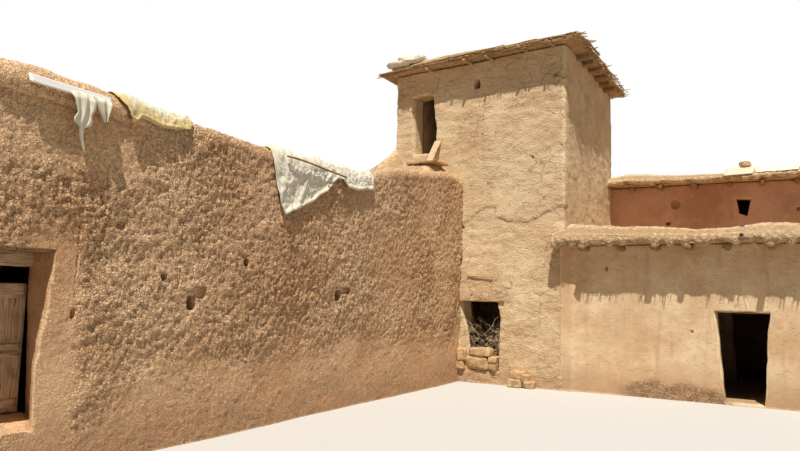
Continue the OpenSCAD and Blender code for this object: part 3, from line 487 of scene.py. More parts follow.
def board(x0, x1, y0, y1, z0, z1, long_axis, seed, wear=0.002, step=0.04):
    """A sawn or hewn board: a rounded four-sided outline carried along its length, moved
    by long-grained noise and worn at its ends. Returns points and quads with end caps."""
    low, high = np.array([x0, y0, z0]), np.array([x1, y1, z1])
    cross = [k for k in range(3) if k != long_axis]
    size = high - low
    n = max(3, int(size[long_axis] / step))
    r = min(size[cross[0]], size[cross[1]]) * 0.16
    ring = []
    for cx, cy, a0 in ((1, 1, 0), (-1, 1, 90), (-1, -1, 180), (1, -1, 270)):
        for a in np.radians([a0, a0 + 45, a0 + 90]):
            ring.append([cx * (size[cross[0]] / 2 - r) + r * math.cos(a),
                         cy * (size[cross[1]] / 2 - r) + r * math.sin(a)])
    dense = outlines([ring], max(size[cross[0]], size[cross[1]]) / 9)[0]
    m = len(dense)
    t = np.linspace(0, 1, n + 1)
    points = np.zeros((n + 1, m, 3))
    points[..., long_axis] = (low[long_axis] + size[long_axis] * t)[:, None]
    for k in (0, 1):
        points[..., cross[k]] = dense[None, :, k] + (low + high)[cross[k]] / 2
    stretch = points.copy()
    stretch[..., long_axis] *= 0.12
    for k in (0, 1):
        points[..., cross[k]] -= np.sign(dense[None, :, k]) * wear * (
            1 + octaves(stretch, 0.06, 1.0, seed + k, 3))
    ends = octaves(stretch[[0, -1]] * 3, 0.1, wear * 3, seed + 5, 3)
    points[0, :, long_axis] += np.abs(ends[0])
    points[-1, :, long_axis] -= np.abs(ends[1])
    return points.reshape(-1, 3), grid_faces(n + 1, m, wrap_m=True), (n + 1, m)


def spin_about(piece, place, degrees, axis):
    """Turns a piece's points about an axis through a place given from the court's corner."""
    shift = Matrix.Translation(tuple(np.array(place) + CORNER))
    piece.data.transform(shift @ Matrix.Rotation(math.radians(degrees), 4, axis) @ shift.inverted())


def boards(name, places):
    """One mesh of boards, given as the arguments of board()."""
    points, quads, caps, start = [], [], [], 0
    for place in places:
        p, q, (n, m) = board(*place)
        points.append(p)
        quads.append(q + start)
        caps += [np.arange(m) + start, np.arange(m)[::-1] + start + (n - 1) * m]
        start += len(p)
    return new_mesh(name, np.concatenate(points), np.concatenate(quads), caps=caps)


# Finishes


def linear(code):
    """An sRGB hex colour as linear red, green and blue."""
    value = np.array([int(code[k:k + 2], 16) for k in (1, 3, 5)]) / 255
    return tuple(float(v) for v in np.where(value <= 0.04045, value / 12.92,
                                            ((value + 0.055) / 1.055) ** 2.4))


def add_node(tree, kind, settings=None, links=None, **values):
    """Adds a node. settings are its own properties, values its inputs by name, with _ for
    a space, and links join inputs, by name or number, to other nodes' outputs."""
    made = tree.nodes.new(kind)
    for key, value in (settings or {}).items():
        setattr(made, key, value)
    for key, value in values.items():
        made.inputs[key.replace("_", " ")].default_value = value
    for key, source in (links or {}).items():
        tree.links.new(source, made.inputs[key])
    return made


def start_finish(name):
    """A new material with a Principled shader, and the object coordinates in metres."""
    finish = bpy.data.materials.new(name)
    finish.use_nodes = True
    tree = finish.node_tree
    tree.nodes.clear()
    shader = add_node(tree, "ShaderNodeBsdfPrincipled")
    add_node(tree, "ShaderNodeOutputMaterial", links={"Surface": shader.outputs[0]})
    place = add_node(tree, "ShaderNodeTexCoord").outputs["Object"]
    return finish, tree, shader, place


def ramp(tree, source, low, high, first=0.0, last=1.0):
    """The source stretched so that low gives first and high gives last, and no further."""
    return add_node(tree, "ShaderNodeMapRange", {"interpolation_type": "SMOOTHSTEP"},
                    {"Value": source}, From_Min=low, From_Max=high, To_Min=first,
                    To_Max=last).outputs["Result"]


def blend_colour(tree, share, first, second, kind="MIX"):
    """Mixes two colours, each a socket or a linear colour, by a share from 0 to 1."""
    mix = add_node(tree, "ShaderNodeMix", {"data_type": "RGBA", "blend_type": kind})
    if hasattr(share, "links") or hasattr(share, "is_linked"):
        tree.links.new(share, mix.inputs["Factor"])
    else:
        mix.inputs["Factor"].default_value = share
    for number, colour in ((6, first), (7, second)):
        if isinstance(colour, (tuple, list)):
            mix.inputs[number].default_value = (*colour[:3], 1)
        else:
            tree.links.new(colour, mix.inputs[number])
    return mix.outputs[2]


def noise(tree, place, size, detail=4, rough=0.55, stretch=None):
    """Fractal noise whose coarsest grain has that size in metres, longer where stretched."""
    if stretch:
        place = add_node(tree, "ShaderNodeMapping", {"vector_type": "POINT"},
                         {"Vector": place}, Scale=stretch).outputs[0]
    return add_node(tree, "ShaderNodeTexNoise", None, {"Vector": place}, Scale=1 / size,
                    Detail=detail, Roughness=rough).outputs["Fac"]


def cells(tree, place, size, feature="F1", stretch=None, rand=1.0):
    """Distance in a pattern of cells of that size in metres."""
    if stretch:
        place = add_node(tree, "ShaderNodeMapping", {"vector_type": "POINT"},
                         {"Vector": place}, Scale=stretch).outputs[0]
    return add_node(tree, "ShaderNodeTexVoronoi", {"feature": feature}, {"Vector": place},
                    Scale=1 / size, Randomness=rand).outputs["Distance"]


def maths(tree, operation, a, b=0.0):
    """One sum of two sockets or numbers."""
    made = add_node(tree, "ShaderNodeMath", {"operation": operation})
    for number, value in enumerate((a, b)):
        if isinstance(value, (int, float)):
            made.inputs[number].default_value = value
        else:
            tree.links.new(value, made.inputs[number])
    return made.outputs[0]


def raise_bump(tree, shader, height, distance, strength=1.0):
    """Joins a height from 0 to 1, worth that distance in metres, to the shader's normal."""
    bump = add_node(tree, "ShaderNodeBump", None, {"Height": height}, Distance=distance,
                    Strength=strength)
    tree.links.new(bump.outputs[0], shader.inputs["Normal"])
    return bump


def mud_finish(name, pale, deep, damp, lump, rough, crack, flecks, band_top, streak=0.0, dents=0.3,
               chips=0.0):
    """Mud plaster mixed with chopped straw, thrown on or wiped by hand and left to dry:
    quite matt, mottled over metres, with painted shade in hollows, dents, gaps between lumps
    and cracks and a painted highlight on crests, redder and damper at the foot, with pale
    straw flecks and small stones, and shrinkage cracks that run mostly level."""
    finish, tree, shader, place = start_finish(name)
    shader.inputs["Roughness"].default_value = 0.93
    shader.inputs["Specular IOR Level"].default_value = 0.15
    wide = noise(tree, place, 1.3, 5, 0.6)
    mid = noise(tree, place, 0.22, 5, 0.65)
    fine = noise(tree, place, 0.03, 4, 0.6)
    colour = blend_colour(tree, ramp(tree, wide, 0.36, 0.66), pale, deep)
    colour = blend_colour(tree, ramp(tree, mid, 0.52, 0.72, 0, 0.5), colour, deep)
    colour = blend_colour(tree, ramp(tree, mid, 0.48, 0.3, 0, 0.35), colour,
                          tuple(min(1, c * 1.18) for c in pale))
    height = add_node(tree, "ShaderNodeSeparateXYZ", None, {"Vector": place}).outputs["Z"]
    edge = maths(tree, "ADD", height, maths(tree, "MULTIPLY", maths(tree, "SUBTRACT", wide, 0.5), 1.4))
    colour = blend_colour(tree, ramp(tree, edge, band_top, 0.0, 0, 0.72), colour, damp)
    if streak:
        runs = noise(tree, place, 0.16, 3, 0.5, (1, 1, 0.08))
        colour = blend_colour(tree, ramp(tree, runs, 0.55, 0.72, 0, streak), colour, damp)
    hollow = add_node(tree, "ShaderNodeAttribute", {"attribute_name": "hollow"}).outputs["Fac"]
    # Painted shade and painted highlight: hollows are darkened towards half the deep colour and crests paled, by the
    # depth stored in hollow.
    colour = blend_colour(tree, ramp(tree, hollow, 0.5, 9.0, 0, 0.5), colour,
                          tuple(c * 0.5 for c in deep))
    colour = blend_colour(tree, ramp(tree, hollow, -0.5, -8.0, 0, 0.4), colour,
                          tuple(min(1, c * 1.25) for c in pale))
    straw = noise(tree, place, 0.028, 2, 0.5, (1, 1, 2.6))
    colour = blend_colour(tree, ramp(tree, straw, 0.68, 0.74, 0, flecks), colour, linear("#E9D3A4"))
    grit = cells(tree, place, 0.09)
    colour = blend_colour(tree, ramp(tree, grit, 0.12, 0.08, 0, flecks), colour, linear("#D9C3A0"))
    small = noise(tree, place, 0.05, 3, 0.7)
    shifted = add_node(tree, "ShaderNodeVectorMath", {"operation": "MULTIPLY_ADD"},
                       {0: add_node(tree, "ShaderNodeTexNoise", None, {"Vector": place}, Scale=22.0,
                                    Detail=2.0).outputs["Color"], 2: place})
    shifted.inputs[1].default_value = (0.03, 0.03, 0.03)
    share = lump
    if chips:
        share = add_node(tree, "ShaderNodeAttribute", {"attribute_name": "rough"}).outputs["Fac"]
        joint = ramp(tree, cells(tree, shifted.outputs[0], 0.032, "DISTANCE_TO_EDGE"), 0.13, 0.0)
        joint = maths(tree, "MULTIPLY", maths(tree, "MULTIPLY", joint, ramp(tree, small, 0.38, 0.6)), share)
        colour = blend_colour(tree, maths(tree, "MULTIPLY", share, 0.5 * (1 - lump)), colour, damp)
        # Painted shade: the gaps between the crumbs are darkened towards half the deep colour.
        colour = blend_colour(tree, maths(tree, "MULTIPLY", joint, chips), colour,
                              tuple(c * 0.5 for c in deep))
    lumps = ramp(tree, cells(tree, shifted.outputs[0], 0.034), 0.8, 0.1)
    relief = maths(tree, "ADD", maths(tree, "MULTIPLY", lumps, share), maths(tree, "MULTIPLY", fine, rough))
    relief = maths(tree, "ADD", relief, maths(tree, "MULTIPLY", maths(tree, "MULTIPLY", small, 1.6), share))
    if chips:
        relief = maths(tree, "SUBTRACT", relief, maths(tree, "MULTIPLY", joint, 2.0))
    else:
        # Painted shade: the gaps between the lumps are darkened towards the deep colour.
        colour = blend_colour(tree, ramp(tree, lumps, 0.35, 0.0, 0, 0.3 * lump), colour,
                              tuple(c * 0.55 for c in deep))
    # Painted shade: the dents are darkened towards half the deep colour as well as sunk.
    dent = ramp(tree, noise(tree, place, 0.06, 3, 0.55, (0.6, 0.6, 2.6)), 0.61, 0.7, 0, dents)
    colour = blend_colour(tree, dent, colour, tuple(c * 0.5 for c in deep))
    relief = maths(tree, "SUBTRACT", relief, maths(tree, "MULTIPLY", dent, 1.5))
    if crack:
        warp = add_node(tree, "ShaderNodeTexNoise", None, {"Vector": place}, Scale=7.0, Detail=3.0)
        bent = add_node(tree, "ShaderNodeMix", {"data_type": "VECTOR"},
                        {4: place, 5: warp.outputs["Color"]})
        bent.inputs["Factor"].default_value = 0.12
        split = cells(tree, bent.outputs[1], 0.34, "DISTANCE_TO_EDGE", (1, 1, 2.1))
        where = ramp(tree, noise(tree, place, 0.7, 3, 0.6), 0.44, 0.56)
        line = maths(tree, "MULTIPLY", ramp(tree, split, 0.014, 0.003), where)
        # Painted shade: the cracks are painted dark as well as sunk.
        colour = blend_colour(tree, maths(tree, "MULTIPLY", line, crack), colour,
                              tuple(c * 0.35 for c in deep))
        relief = maths(tree, "SUBTRACT", relief, maths(tree, "MULTIPLY", line, 1.6 * crack))
    tree.links.new(colour, shader.inputs["Base Color"])
    raise_bump(tree, shader, relief, 0.012)
    return finish


def wood_finish(name, pale, deep, grain_axis, gloss=0.8):
    """Weathered poplar or tamarisk, split and sun-bleached: grey-brown, with long open
    grain about 4 mm apart, darker patches, and drying checks darkened as painted shade, nearly matt."""
    finish, tree, shader, place = start_finish(name)
    shader.inputs["Roughness"].default_value = gloss
    shader.inputs["Specular IOR Level"].default_value = 0.25
    stretch = [1.0, 1.0, 1.0]
    stretch[grain_axis] = 0.06
    grain = noise(tree, place, 0.012, 5, 0.65, tuple(stretch))
    patch = noise(tree, place, 0.25, 4, 0.6)
    check = noise(tree, place, 0.03, 2, 0.5, tuple(stretch))
    colour = blend_colour(tree, ramp(tree, grain, 0.38, 0.62), deep, pale)
    colour = blend_colour(tree, ramp(tree, patch, 0.5, 0.75, 0, 0.6), colour,
                          tuple(c * 0.6 for c in deep))
    # Painted shade: the drying checks are darkened towards a quarter of the deep colour as well as sunk.
    colour = blend_colour(tree, ramp(tree, check, 0.64, 0.7, 0, 0.8), colour,
                          tuple(c * 0.25 for c in deep))
    tree.links.new(colour, shader.inputs["Base Color"])
    relief = maths(tree, "SUBTRACT", grain, maths(tree, "MULTIPLY", ramp(tree, check, 0.62, 0.7), 0.8))
    raise_bump(tree, shader, relief, 0.004)
    return finish


def cane_finish(name, pale, deep):
    """Dry cane and brushwood under the roof earth: straw-coloured rods, each greyed a
    little differently, with patches of dust."""
    finish, tree, shader, place = start_finish(name)
    shader.inputs["Roughness"].default_value = 0.75
    shader.inputs["Specular IOR Level"].default_value = 0.3
    rod = noise(tree, place, 0.05, 3, 0.7)
    dust = noise(tree, place, 0.4, 4, 0.6)
    colour = blend_colour(tree, ramp(tree, rod, 0.35, 0.65), deep, pale)
    colour = blend_colour(tree, ramp(tree, dust, 0.45, 0.7, 0, 0.6), colour, linear("#A98763"))
    tree.links.new(colour, shader.inputs["Base Color"])
    raise_bump(tree, shader, noise(tree, place, 0.008, 3, 0.6), 0.002)
    return finish


def stone_finish(name, pale, deep):
    """Undressed sandstone and lumps of old mud brick: matt, dusty, grained at 10 mm."""
    finish, tree, shader, place = start_finish(name)
    shader.inputs["Roughness"].default_value = 0.9
    shader.inputs["Specular IOR Level"].default_value = 0.2
    patch = noise(tree, place, 0.12, 5, 0.65)
    grain = noise(tree, place, 0.012, 4, 0.7)
    colour = blend_colour(tree, ramp(tree, patch, 0.38, 0.62), pale, deep)
    colour = blend_colour(tree, ramp(tree, grain, 0.55, 0.7, 0, 0.5), colour,
                          tuple(c * 0.55 for c in deep))
    chip = ramp(tree, cells(tree, place, 0.07, "DISTANCE_TO_EDGE"), 0.0, 0.12)
    tree.links.new(colour, shader.inputs["Base Color"])
    relief = maths(tree, "ADD", patch, maths(tree, "MULTIPLY", grain, 0.5))
    raise_bump(tree, shader, maths(tree, "ADD", relief, maths(tree, "MULTIPLY", chip, 0.3)), 0.016)
    return finish


def cloth_finish(name, pale, deep, thread=0.006, gloss=0.8, hem=0.0):
    """Old sacking or tarpaulin, sun-faded and dusty, its weave drawn 6 mm apart so that it
    shows; woven plastic is smoother."""
    finish, tree, shader, place = start_finish(name)
    shader.inputs["Roughness"].default_value = gloss
    shader.inputs["Specular IOR Level"].default_value = 0.3
    shader.inputs["Sheen Weight"].default_value = 0.15
    waves = []
    for turned in ("X", "Y", "Z"):
        waves.append(add_node(tree, "ShaderNodeTexWave", {"bands_direction": turned},
                              {"Vector": place}, Scale=0.32 / thread, Distortion=0.6).outputs["Fac"])
    weave = maths(tree, "MULTIPLY", maths(tree, "ADD", waves[0], waves[1]), waves[2])
    dirt = noise(tree, place, 0.25, 5, 0.65)
    colour = blend_colour(tree, ramp(tree, dirt, 0.42, 0.72), pale, deep)
    if hem:
        across = add_node(tree, "ShaderNodeAttribute", {"attribute_name": "hem"}).outputs["Fac"]
        colour = blend_colour(tree, ramp(tree, across, hem, hem + 0.06, 0, 0.9), colour, deep)
    tree.links.new(colour, shader.inputs["Base Color"])
    relief = maths(tree, "ADD", maths(tree, "MULTIPLY", weave, 0.3), noise(tree, place, 0.05, 4, 0.6))
    raise_bump(tree, shader, relief, 0.004)
    return finish


def board_finish(name, pale, deep):
    """White laminate board left out on the roof: faintly glossy, with patches of dust."""
    finish, tree, shader, place = start_finish(name)
    shader.inputs["Roughness"].default_value = 0.5
    dirt = noise(tree, place, 0.3, 5, 0.65)
    tree.links.new(blend_colour(tree, ramp(tree, dirt, 0.5, 0.78, 0, 0.6), pale, deep),
                   shader.inputs["Base Color"])
    raise_bump(tree, shader, noise(tree, place, 0.02, 3, 0.5), 0.0008)
    return finish


def pipe_finish(name, pale, deep):
    """Grey PVC rain pipe, moulded and weathered: satin, with mud splashes."""
    finish, tree, shader, place = start_finish(name)
    shader.inputs["Roughness"].default_value = 0.5
    mud = noise(tree, place, 0.05, 4, 0.6)
    tree.links.new(blend_colour(tree, ramp(tree, mud, 0.5, 0.65, 0, 0.8), pale, deep),
                   shader.inputs["Base Color"])
    raise_bump(tree, shader, mud, 0.001)
    return finish


# Surfaces of the walls


def slanted(y, z, line):
    """Distance above a line through (y or x, z) points, with a little sway."""
    return z - np.interp(y, [p[0] for p in line], [p[1] for p in line])


def wing_rough(p):
    """The west wing's share of thrown mud, from 0 where it is smoothed to 1, and its head."""
    y, z = p[..., 1], p[..., 2]
    foot_z = 1.1 - 0.5 * ease(-y - 8.8) + 0.22 * swell(p, 0.9, 3)
    foot = ease((foot_z - z) / 0.7 + 0.5)
    jamb = band(y, -10.35, -9.98, 0.25) * band(z, 0, 2.3, 0.5)
    head = band(y, -14, -9.3, 0.4) * band(z, 3.3, 9, 0.3)
    rough = 1 - np.maximum(np.maximum(0.62 * foot, 0.7 * jamb), 0.35 * head)
    return rough * (0.85 + 0.25 * swell(p, 0.9, 8)), head


def wing_relief(p):
    """Thrown mud on the west wing, in metres outwards: clods and crumbs, a smoother foot,
    jamb and head, a cap that stands out, a foot that flares, and a wall that waves."""
    s = bpy.context.scene.house_sizes
    z = p[..., 2]
    rough, head = wing_rough(p)
    warp = np.stack([swell(p, 0.12, 5), swell(p, 0.12, 6), swell(p, 0.12, 7)], -1) * 0.035
    crumbs = 0.6 * np.abs(swell(p + warp, 0.07, 31)) + 0.8 * np.abs(swell(p, 0.042, 32))
    h = octaves(p, 2.4, 0.03, 11, 3, 0.5)
    h += s.wing_relief * rough * (0.5 * clods(p + warp, 0.062, 21) + 0.9 * crumbs
                                  + octaves(p, 0.25, 0.4, 41, 2))
    h += (1 - rough) * octaves(p, 0.5, 0.008, 51, 2)
    h += 0.05 * head * band(z, 3.86, 9, 0.06)
    return h + 0.035 * np.exp(-z / 0.3)


def groove(line, radius, seed):
    """A thin round cutter down the court wall's face through (y, z) points. It follows the
    face's relief and narrows to both ends as a sine, so its crack is as deep as its radius."""
    t = np.linspace(0, 1, 70)
    y, z = (np.interp(t, np.linspace(0, 1, len(line)), np.array(line)[:, k]) for k in (0, 1))
    p = np.stack([0 * y, y, z], -1)
    p[:, 1] += 0.02 * swell(p, 0.3, seed) + 0.008 * swell(p, 0.08, seed + 1)
    p[:, 0] = wing_relief(p)
    return rod_mesh("cutter", [(p[None], (radius * np.sin(np.pi * (0.06 + 0.88 * t)))[None], 6)])


COURT_TOP = ((0.0, 4.75), (0.7, 4.75), (1.45, 4.66), (2.14, 4.54), (2.79, 4.46), (3.38, 4.36), (3.86, 4.22),
             (4.3, 4.1), (5.0, 4.06), (7.2, 4.07), (9.7, 4.07), (13.0, 4.1))


def court_top(x, y):
    """The court parapet's wavy top, with the long hump beside the tower."""
    line = np.stack([0 * y, y, 0 * y], -1)
    h = sum(np.interp(-y + d, *zip(*COURT_TOP)) for d in (-0.25, -0.1, 0.1, 0.25)) / 4
    return h + 0.02 * swell(line, 1.3, 13) + 0.012 * swell(line, 0.35, 14)


def wing_top(x, y):
    """The other parapets' top, which sinks into the bank behind the tower's foot."""
    line = np.stack([x, y, 0 * y], -1)
    sunk = band(y, -1.0, 1.0, 0.2) * ease((x + 2.75) / 0.1)
    return WING_TOP + 0.03 * swell(line, 1.1, 15) - 0.16 * sunk


SEAM = ((-1.0, 3.5), (-0.07, 3.55), (0.14, 3.71), (0.39, 3.93), (0.6, 4.02), (0.88, 4.03),
        (0.9, 3.76), (1.13, 3.7), (1.61, 3.67), (1.97, 3.8), (2.2, 3.93), (2.6, 4.02))


def tower_relief(p):
    """Hand-laid mud on the tower: the upper coat ends in a ragged lip over the lower one,
    the surface wrinkles level as it was pressed on, corners are worn, and the foot flares."""
    s = bpy.context.scene.house_sizes
    x, y, z = p[..., 0], p[..., 1], p[..., 2]
    h = octaves(p, 1.9, 0.022, 61, 3, 0.5)
    level = p * np.array([1, 1, 2.2])
    h += s.tower_relief * (0.5 * clods(p, 0.15, 64) + octaves(level, 0.3, 0.9, 67, 4, 0.6))
    over = slanted(x, z, SEAM) + 0.03 * swell(p, 0.25, 73) + 0.015 * swell(p, 0.09, 74)
    h += 0.024 * ease(over / 0.03 + 0.5) * np.exp(-np.clip(over, 0, 9) / 1.2) * (y < 0.3)
    lower = ease((3.3 - z) / 0.6)
    h += lower * s.tower_relief * (0.6 * clods(p, 0.07, 77) + 0.6 * np.abs(swell(p, 0.09, 78)))
    corner = np.exp(-((x - TOWER_X1) ** 2 + y ** 2) / 0.09)
    h -= corner * (0.02 + 0.045 * np.clip(swell(p, 0.35, 79), 0, 1)) * ease((z - 3.4) / 0.3)
    return h + 0.03 * np.exp(-z / 0.3)


def front_worn(p):
    """The share of the front room's foot that rain has worn back to crumbly mud."""
    x, y, z = p[..., 0], p[..., 1], p[..., 2]
    edge = np.interp(x, [3.6, 4.3, 4.9, 5.5], [0.2, 0.36, 0.33, 0.22]) + 0.06 * swell(p, 0.25, 96)
    return ease((edge - z) / 0.2 + 0.3) * band(x, 3.95, 5.4, 0.5) * (y < 0.5)


def front_relief(p):
    """Wiped plaster on the front room, with clods where its foot has worn away."""
    s = bpy.context.scene.house_sizes
    x, y, z = p[..., 0], p[..., 1], p[..., 2]
    h = octaves(p, 2.2, 0.02, 91, 3, 0.5) + s.smooth_relief * octaves(p, 0.3, 1.0, 95, 4)
    h += 0.1 * ease((2.95 - x) / 0.35) * (y < 0.3)
    h += front_worn(p) * (octaves(p, 0.14, 0.02, 97, 3) - 0.022)
    return h + 0.03 * np.exp(-z / 0.3)


def rear_relief(p):
    """Wiped plaster on the rear block; its lower front steps out to carry the logs."""
    s = bpy.context.scene.house_sizes
    y, z = p[..., 1], p[..., 2]
    h = octaves(p, 1.8, 0.014, 101, 2) + s.smooth_relief * octaves(p, 0.3, 1.0, 105, 4)
    h += 0.12 * ((z < STOREY) & (y < MID_Y0 + 0.02))
    return h + 0.05 * np.exp(-z / 0.22) * (y > MID_Y0 + 0.1)


# Properties


class HouseSizes(bpy.types.PropertyGroup):
    """Sizes of the finishes"""
    wing_step: bpy.props.FloatProperty(
        name="Court wall grid", description="Spacing of the court wall's surface points",
        default=0.028, min=0.02, max=0.2, unit="LENGTH", subtype="DISTANCE")
    tower_step: bpy.props.FloatProperty(
        name="Tower grid", description="Spacing of the tower front's surface points",
        default=0.037, min=0.025, max=0.2, unit="LENGTH", subtype="DISTANCE")
    front_step: bpy.props.FloatProperty(
        name="Front room grid", description="Spacing of the front room's surface points",
        default=0.045, min=0.03, max=0.2, unit="LENGTH", subtype="DISTANCE")
    back_step: bpy.props.FloatProperty(
        name="Far side grid", description="Spacing of the surface points on the far sides",
        default=0.11, min=0.05, max=0.4, unit="LENGTH", subtype="DISTANCE")
    wing_relief: bpy.props.FloatProperty(
        name="Thrown mud", description="Height of the clods on the west wing",
        default=0.03, min=0, max=0.08, unit="LENGTH", subtype="DISTANCE")
    tower_relief: bpy.props.FloatProperty(
        name="Laid mud", description="Height of the lumps on the tower",
        default=0.01, min=0, max=0.05, unit="LENGTH", subtype="DISTANCE")
    smooth_relief: bpy.props.FloatProperty(
        name="Wiped plaster", description="Height of the waves on the front room",
        default=0.006, min=0, max=0.03, unit="LENGTH", subtype="DISTANCE")
    cane_d: bpy.props.FloatProperty(
        name="Cane", description="Diameter of the canes under the roof earth",
        default=0.026, min=0.015, max=0.04, unit="LENGTH", subtype="DISTANCE")
    twig_l: bpy.props.FloatProperty(
        name="Twig", description="Longest twig that hangs from a roof's edge",
        default=0.18, min=0.05, max=0.4, unit="LENGTH", subtype="DISTANCE")
    cloth_t: bpy.props.FloatProperty(
        name="Cloth", description="Thickness of the sheets and sacking",
        default=0.004, min=0.001, max=0.01, unit="LENGTH", subtype="DISTANCE")


def colour_property(label, words, code):
    return bpy.props.FloatVectorProperty(name=label, description=words, subtype="COLOR",
                                         size=3, min=0, max=1, default=linear(code))


class HouseColours(bpy.types.PropertyGroup):
    """Colours of the finishes"""
    # The pale colours also give the painted highlight on the crests of the mud and roof earth, and the deep ones the
    # painted shade in hollows, dents, gaps, cracks and wood checks.
    rough_pale: colour_property("Thrown mud", "Dry crests of the west wing's mud", "#EBC398")
    rough_deep: colour_property("Thrown mud, deep", "Deeper patches of that mud", "#D8A97E")
    tower_pale: colour_property("Laid mud", "Dry crests of the tower's mud", "#E8CEA5")
    tower_deep: colour_property("Laid mud, deep", "Deeper patches of the tower's mud", "#D3B18A")
    front_pale: colour_property("Wiped plaster", "Dry plaster of the front room", "#EDD3AC")
    front_deep: colour_property("Wiped plaster, deep", "Deeper patches of that plaster", "#D6B087")
    rear_pale: colour_property("Red plaster", "Dry plaster of the rear block", "#DAAD93")
    rear_deep: colour_property("Red plaster, deep", "Deeper patches of that plaster", "#C19073")
    damp: colour_property("Damp foot", "Mud at the foot of the walls", "#AE8562")
    earth_pale: colour_property("Roof earth", "Dry crests of the roof earth", "#EDD8AD")
    earth_deep: colour_property("Roof earth, deep", "Deeper patches of the roof earth", "#D2B287")
    log: colour_property("Log", "Peeled and bleached roof logs", "#B99569")
    log_deep: colour_property("Log, deep", "Grain and shade in the logs", "#7E5F3E")
    door: colour_property("Door", "Weathered door planks", "#E8CBA8")
    door_deep: colour_property("Door, deep", "Grain and stains in the planks", "#B59474")
    cane: colour_property("Cane", "Dry canes and twigs", "#DBBC8E")
    cane_deep: colour_property("Cane, deep", "Old and dusty canes", "#A4835B")
    stone: colour_property("Stone", "Field stones and broken mud brick", "#DCB98A")
    stone_deep: colour_property("Stone, deep", "Shaded grain of the stones", "#B59268")
    cloth: colour_property("Cream cloth", "Faded sacking", "#F6EEDA")
    cloth_deep: colour_property("Cream cloth, dusty", "Dust and stains on the sacking", "#E6D8BA")
    yellow: colour_property("Yellow sheet", "Faded yellow woven plastic", "#F1E7C9")
    yellow_deep: colour_property("Yellow sheet, dusty", "Turned-up hem of the yellow sheet", "#E0C684")
    white: colour_property("White board", "Clean white board", "#F4F2EC")
    white_deep: colour_property("White board, dusty", "Dust on the white board", "#D8C9AC")
    pipe: colour_property("Pipe", "Grey plastic pipe", "#A9A59E")


class HOUSE_OT_finishes(bpy.types.Operator):
    """Makes all the finishes"""
    bl_idname = "house.finishes"
    bl_label = "Finishes"

    def execute(self, context):
        c = context.scene.house_colours

        def t(colour):
            return tuple(colour)

        mud_finish("thrown_mud", t(c.rough_pale), t(c.rough_deep), t(c.damp), 1.0, 0.8, 0.0,
                   0.6, 0.75, 0.0, 0.25, 0.6)
        mud_finish("laid_mud", t(c.tower_pale), t(c.tower_deep), t(c.damp), 0.5, 0.6, 0.7, 0.5, 0.7, 0.0, 0.3)
        mud_finish("wiped_plaster", t(c.front_pale), t(c.front_deep), t(c.damp), 0.08, 0.35, 0.1,
                   0.35, 0.85, 0.25, 0.25, 0.7)
        mud_finish("red_plaster", t(c.rear_pale), t(c.rear_deep), t(c.damp), 0.06, 0.3, 0.06,
                   0.2, 0.4, 0.15, 0.2)
        mud_finish("straw_earth", t(c.earth_pale), t(c.earth_deep), t(c.damp), 0.8, 1.1, 0.0,
                   0.35, -9.0, 0.0, 0.4)
        wood_finish("peeled_log_x", t(c.log), t(c.log_deep), 0)
        wood_finish("peeled_log_y", t(c.log), t(c.log_deep), 1)
        wood_finish("door_wood_z", t(c.door), t(c.door_deep), 2, 0.7)
        wood_finish("door_wood_y", t(c.door), t(c.door_deep), 1, 0.7)
        wood_finish("lintel_wood", t(c.log), t(c.log_deep), 0)
        cane_finish("dry_cane", t(c.cane), t(c.cane_deep))
        cane_finish("pale_brush", t(c.cloth_deep), t(c.cane))
        stone_finish("rough_sandstone", t(c.stone), t(c.stone_deep))
        cloth_finish("cream_sacking", t(c.cloth), t(c.cloth_deep))
        cloth_finish("yellow_woven_plastic", t(c.yellow), t(c.yellow_deep), 0.005, 0.55, 0.74)
        board_finish("white_laminate", t(c.white), t(c.white_deep))
        board_finish("dusty_laminate", t(c.white_deep), t(c.earth_pale))
        pipe_finish("grey_pvc", t(c.pipe), t(c.earth_deep))
        return {"FINISHED"}


# Walls


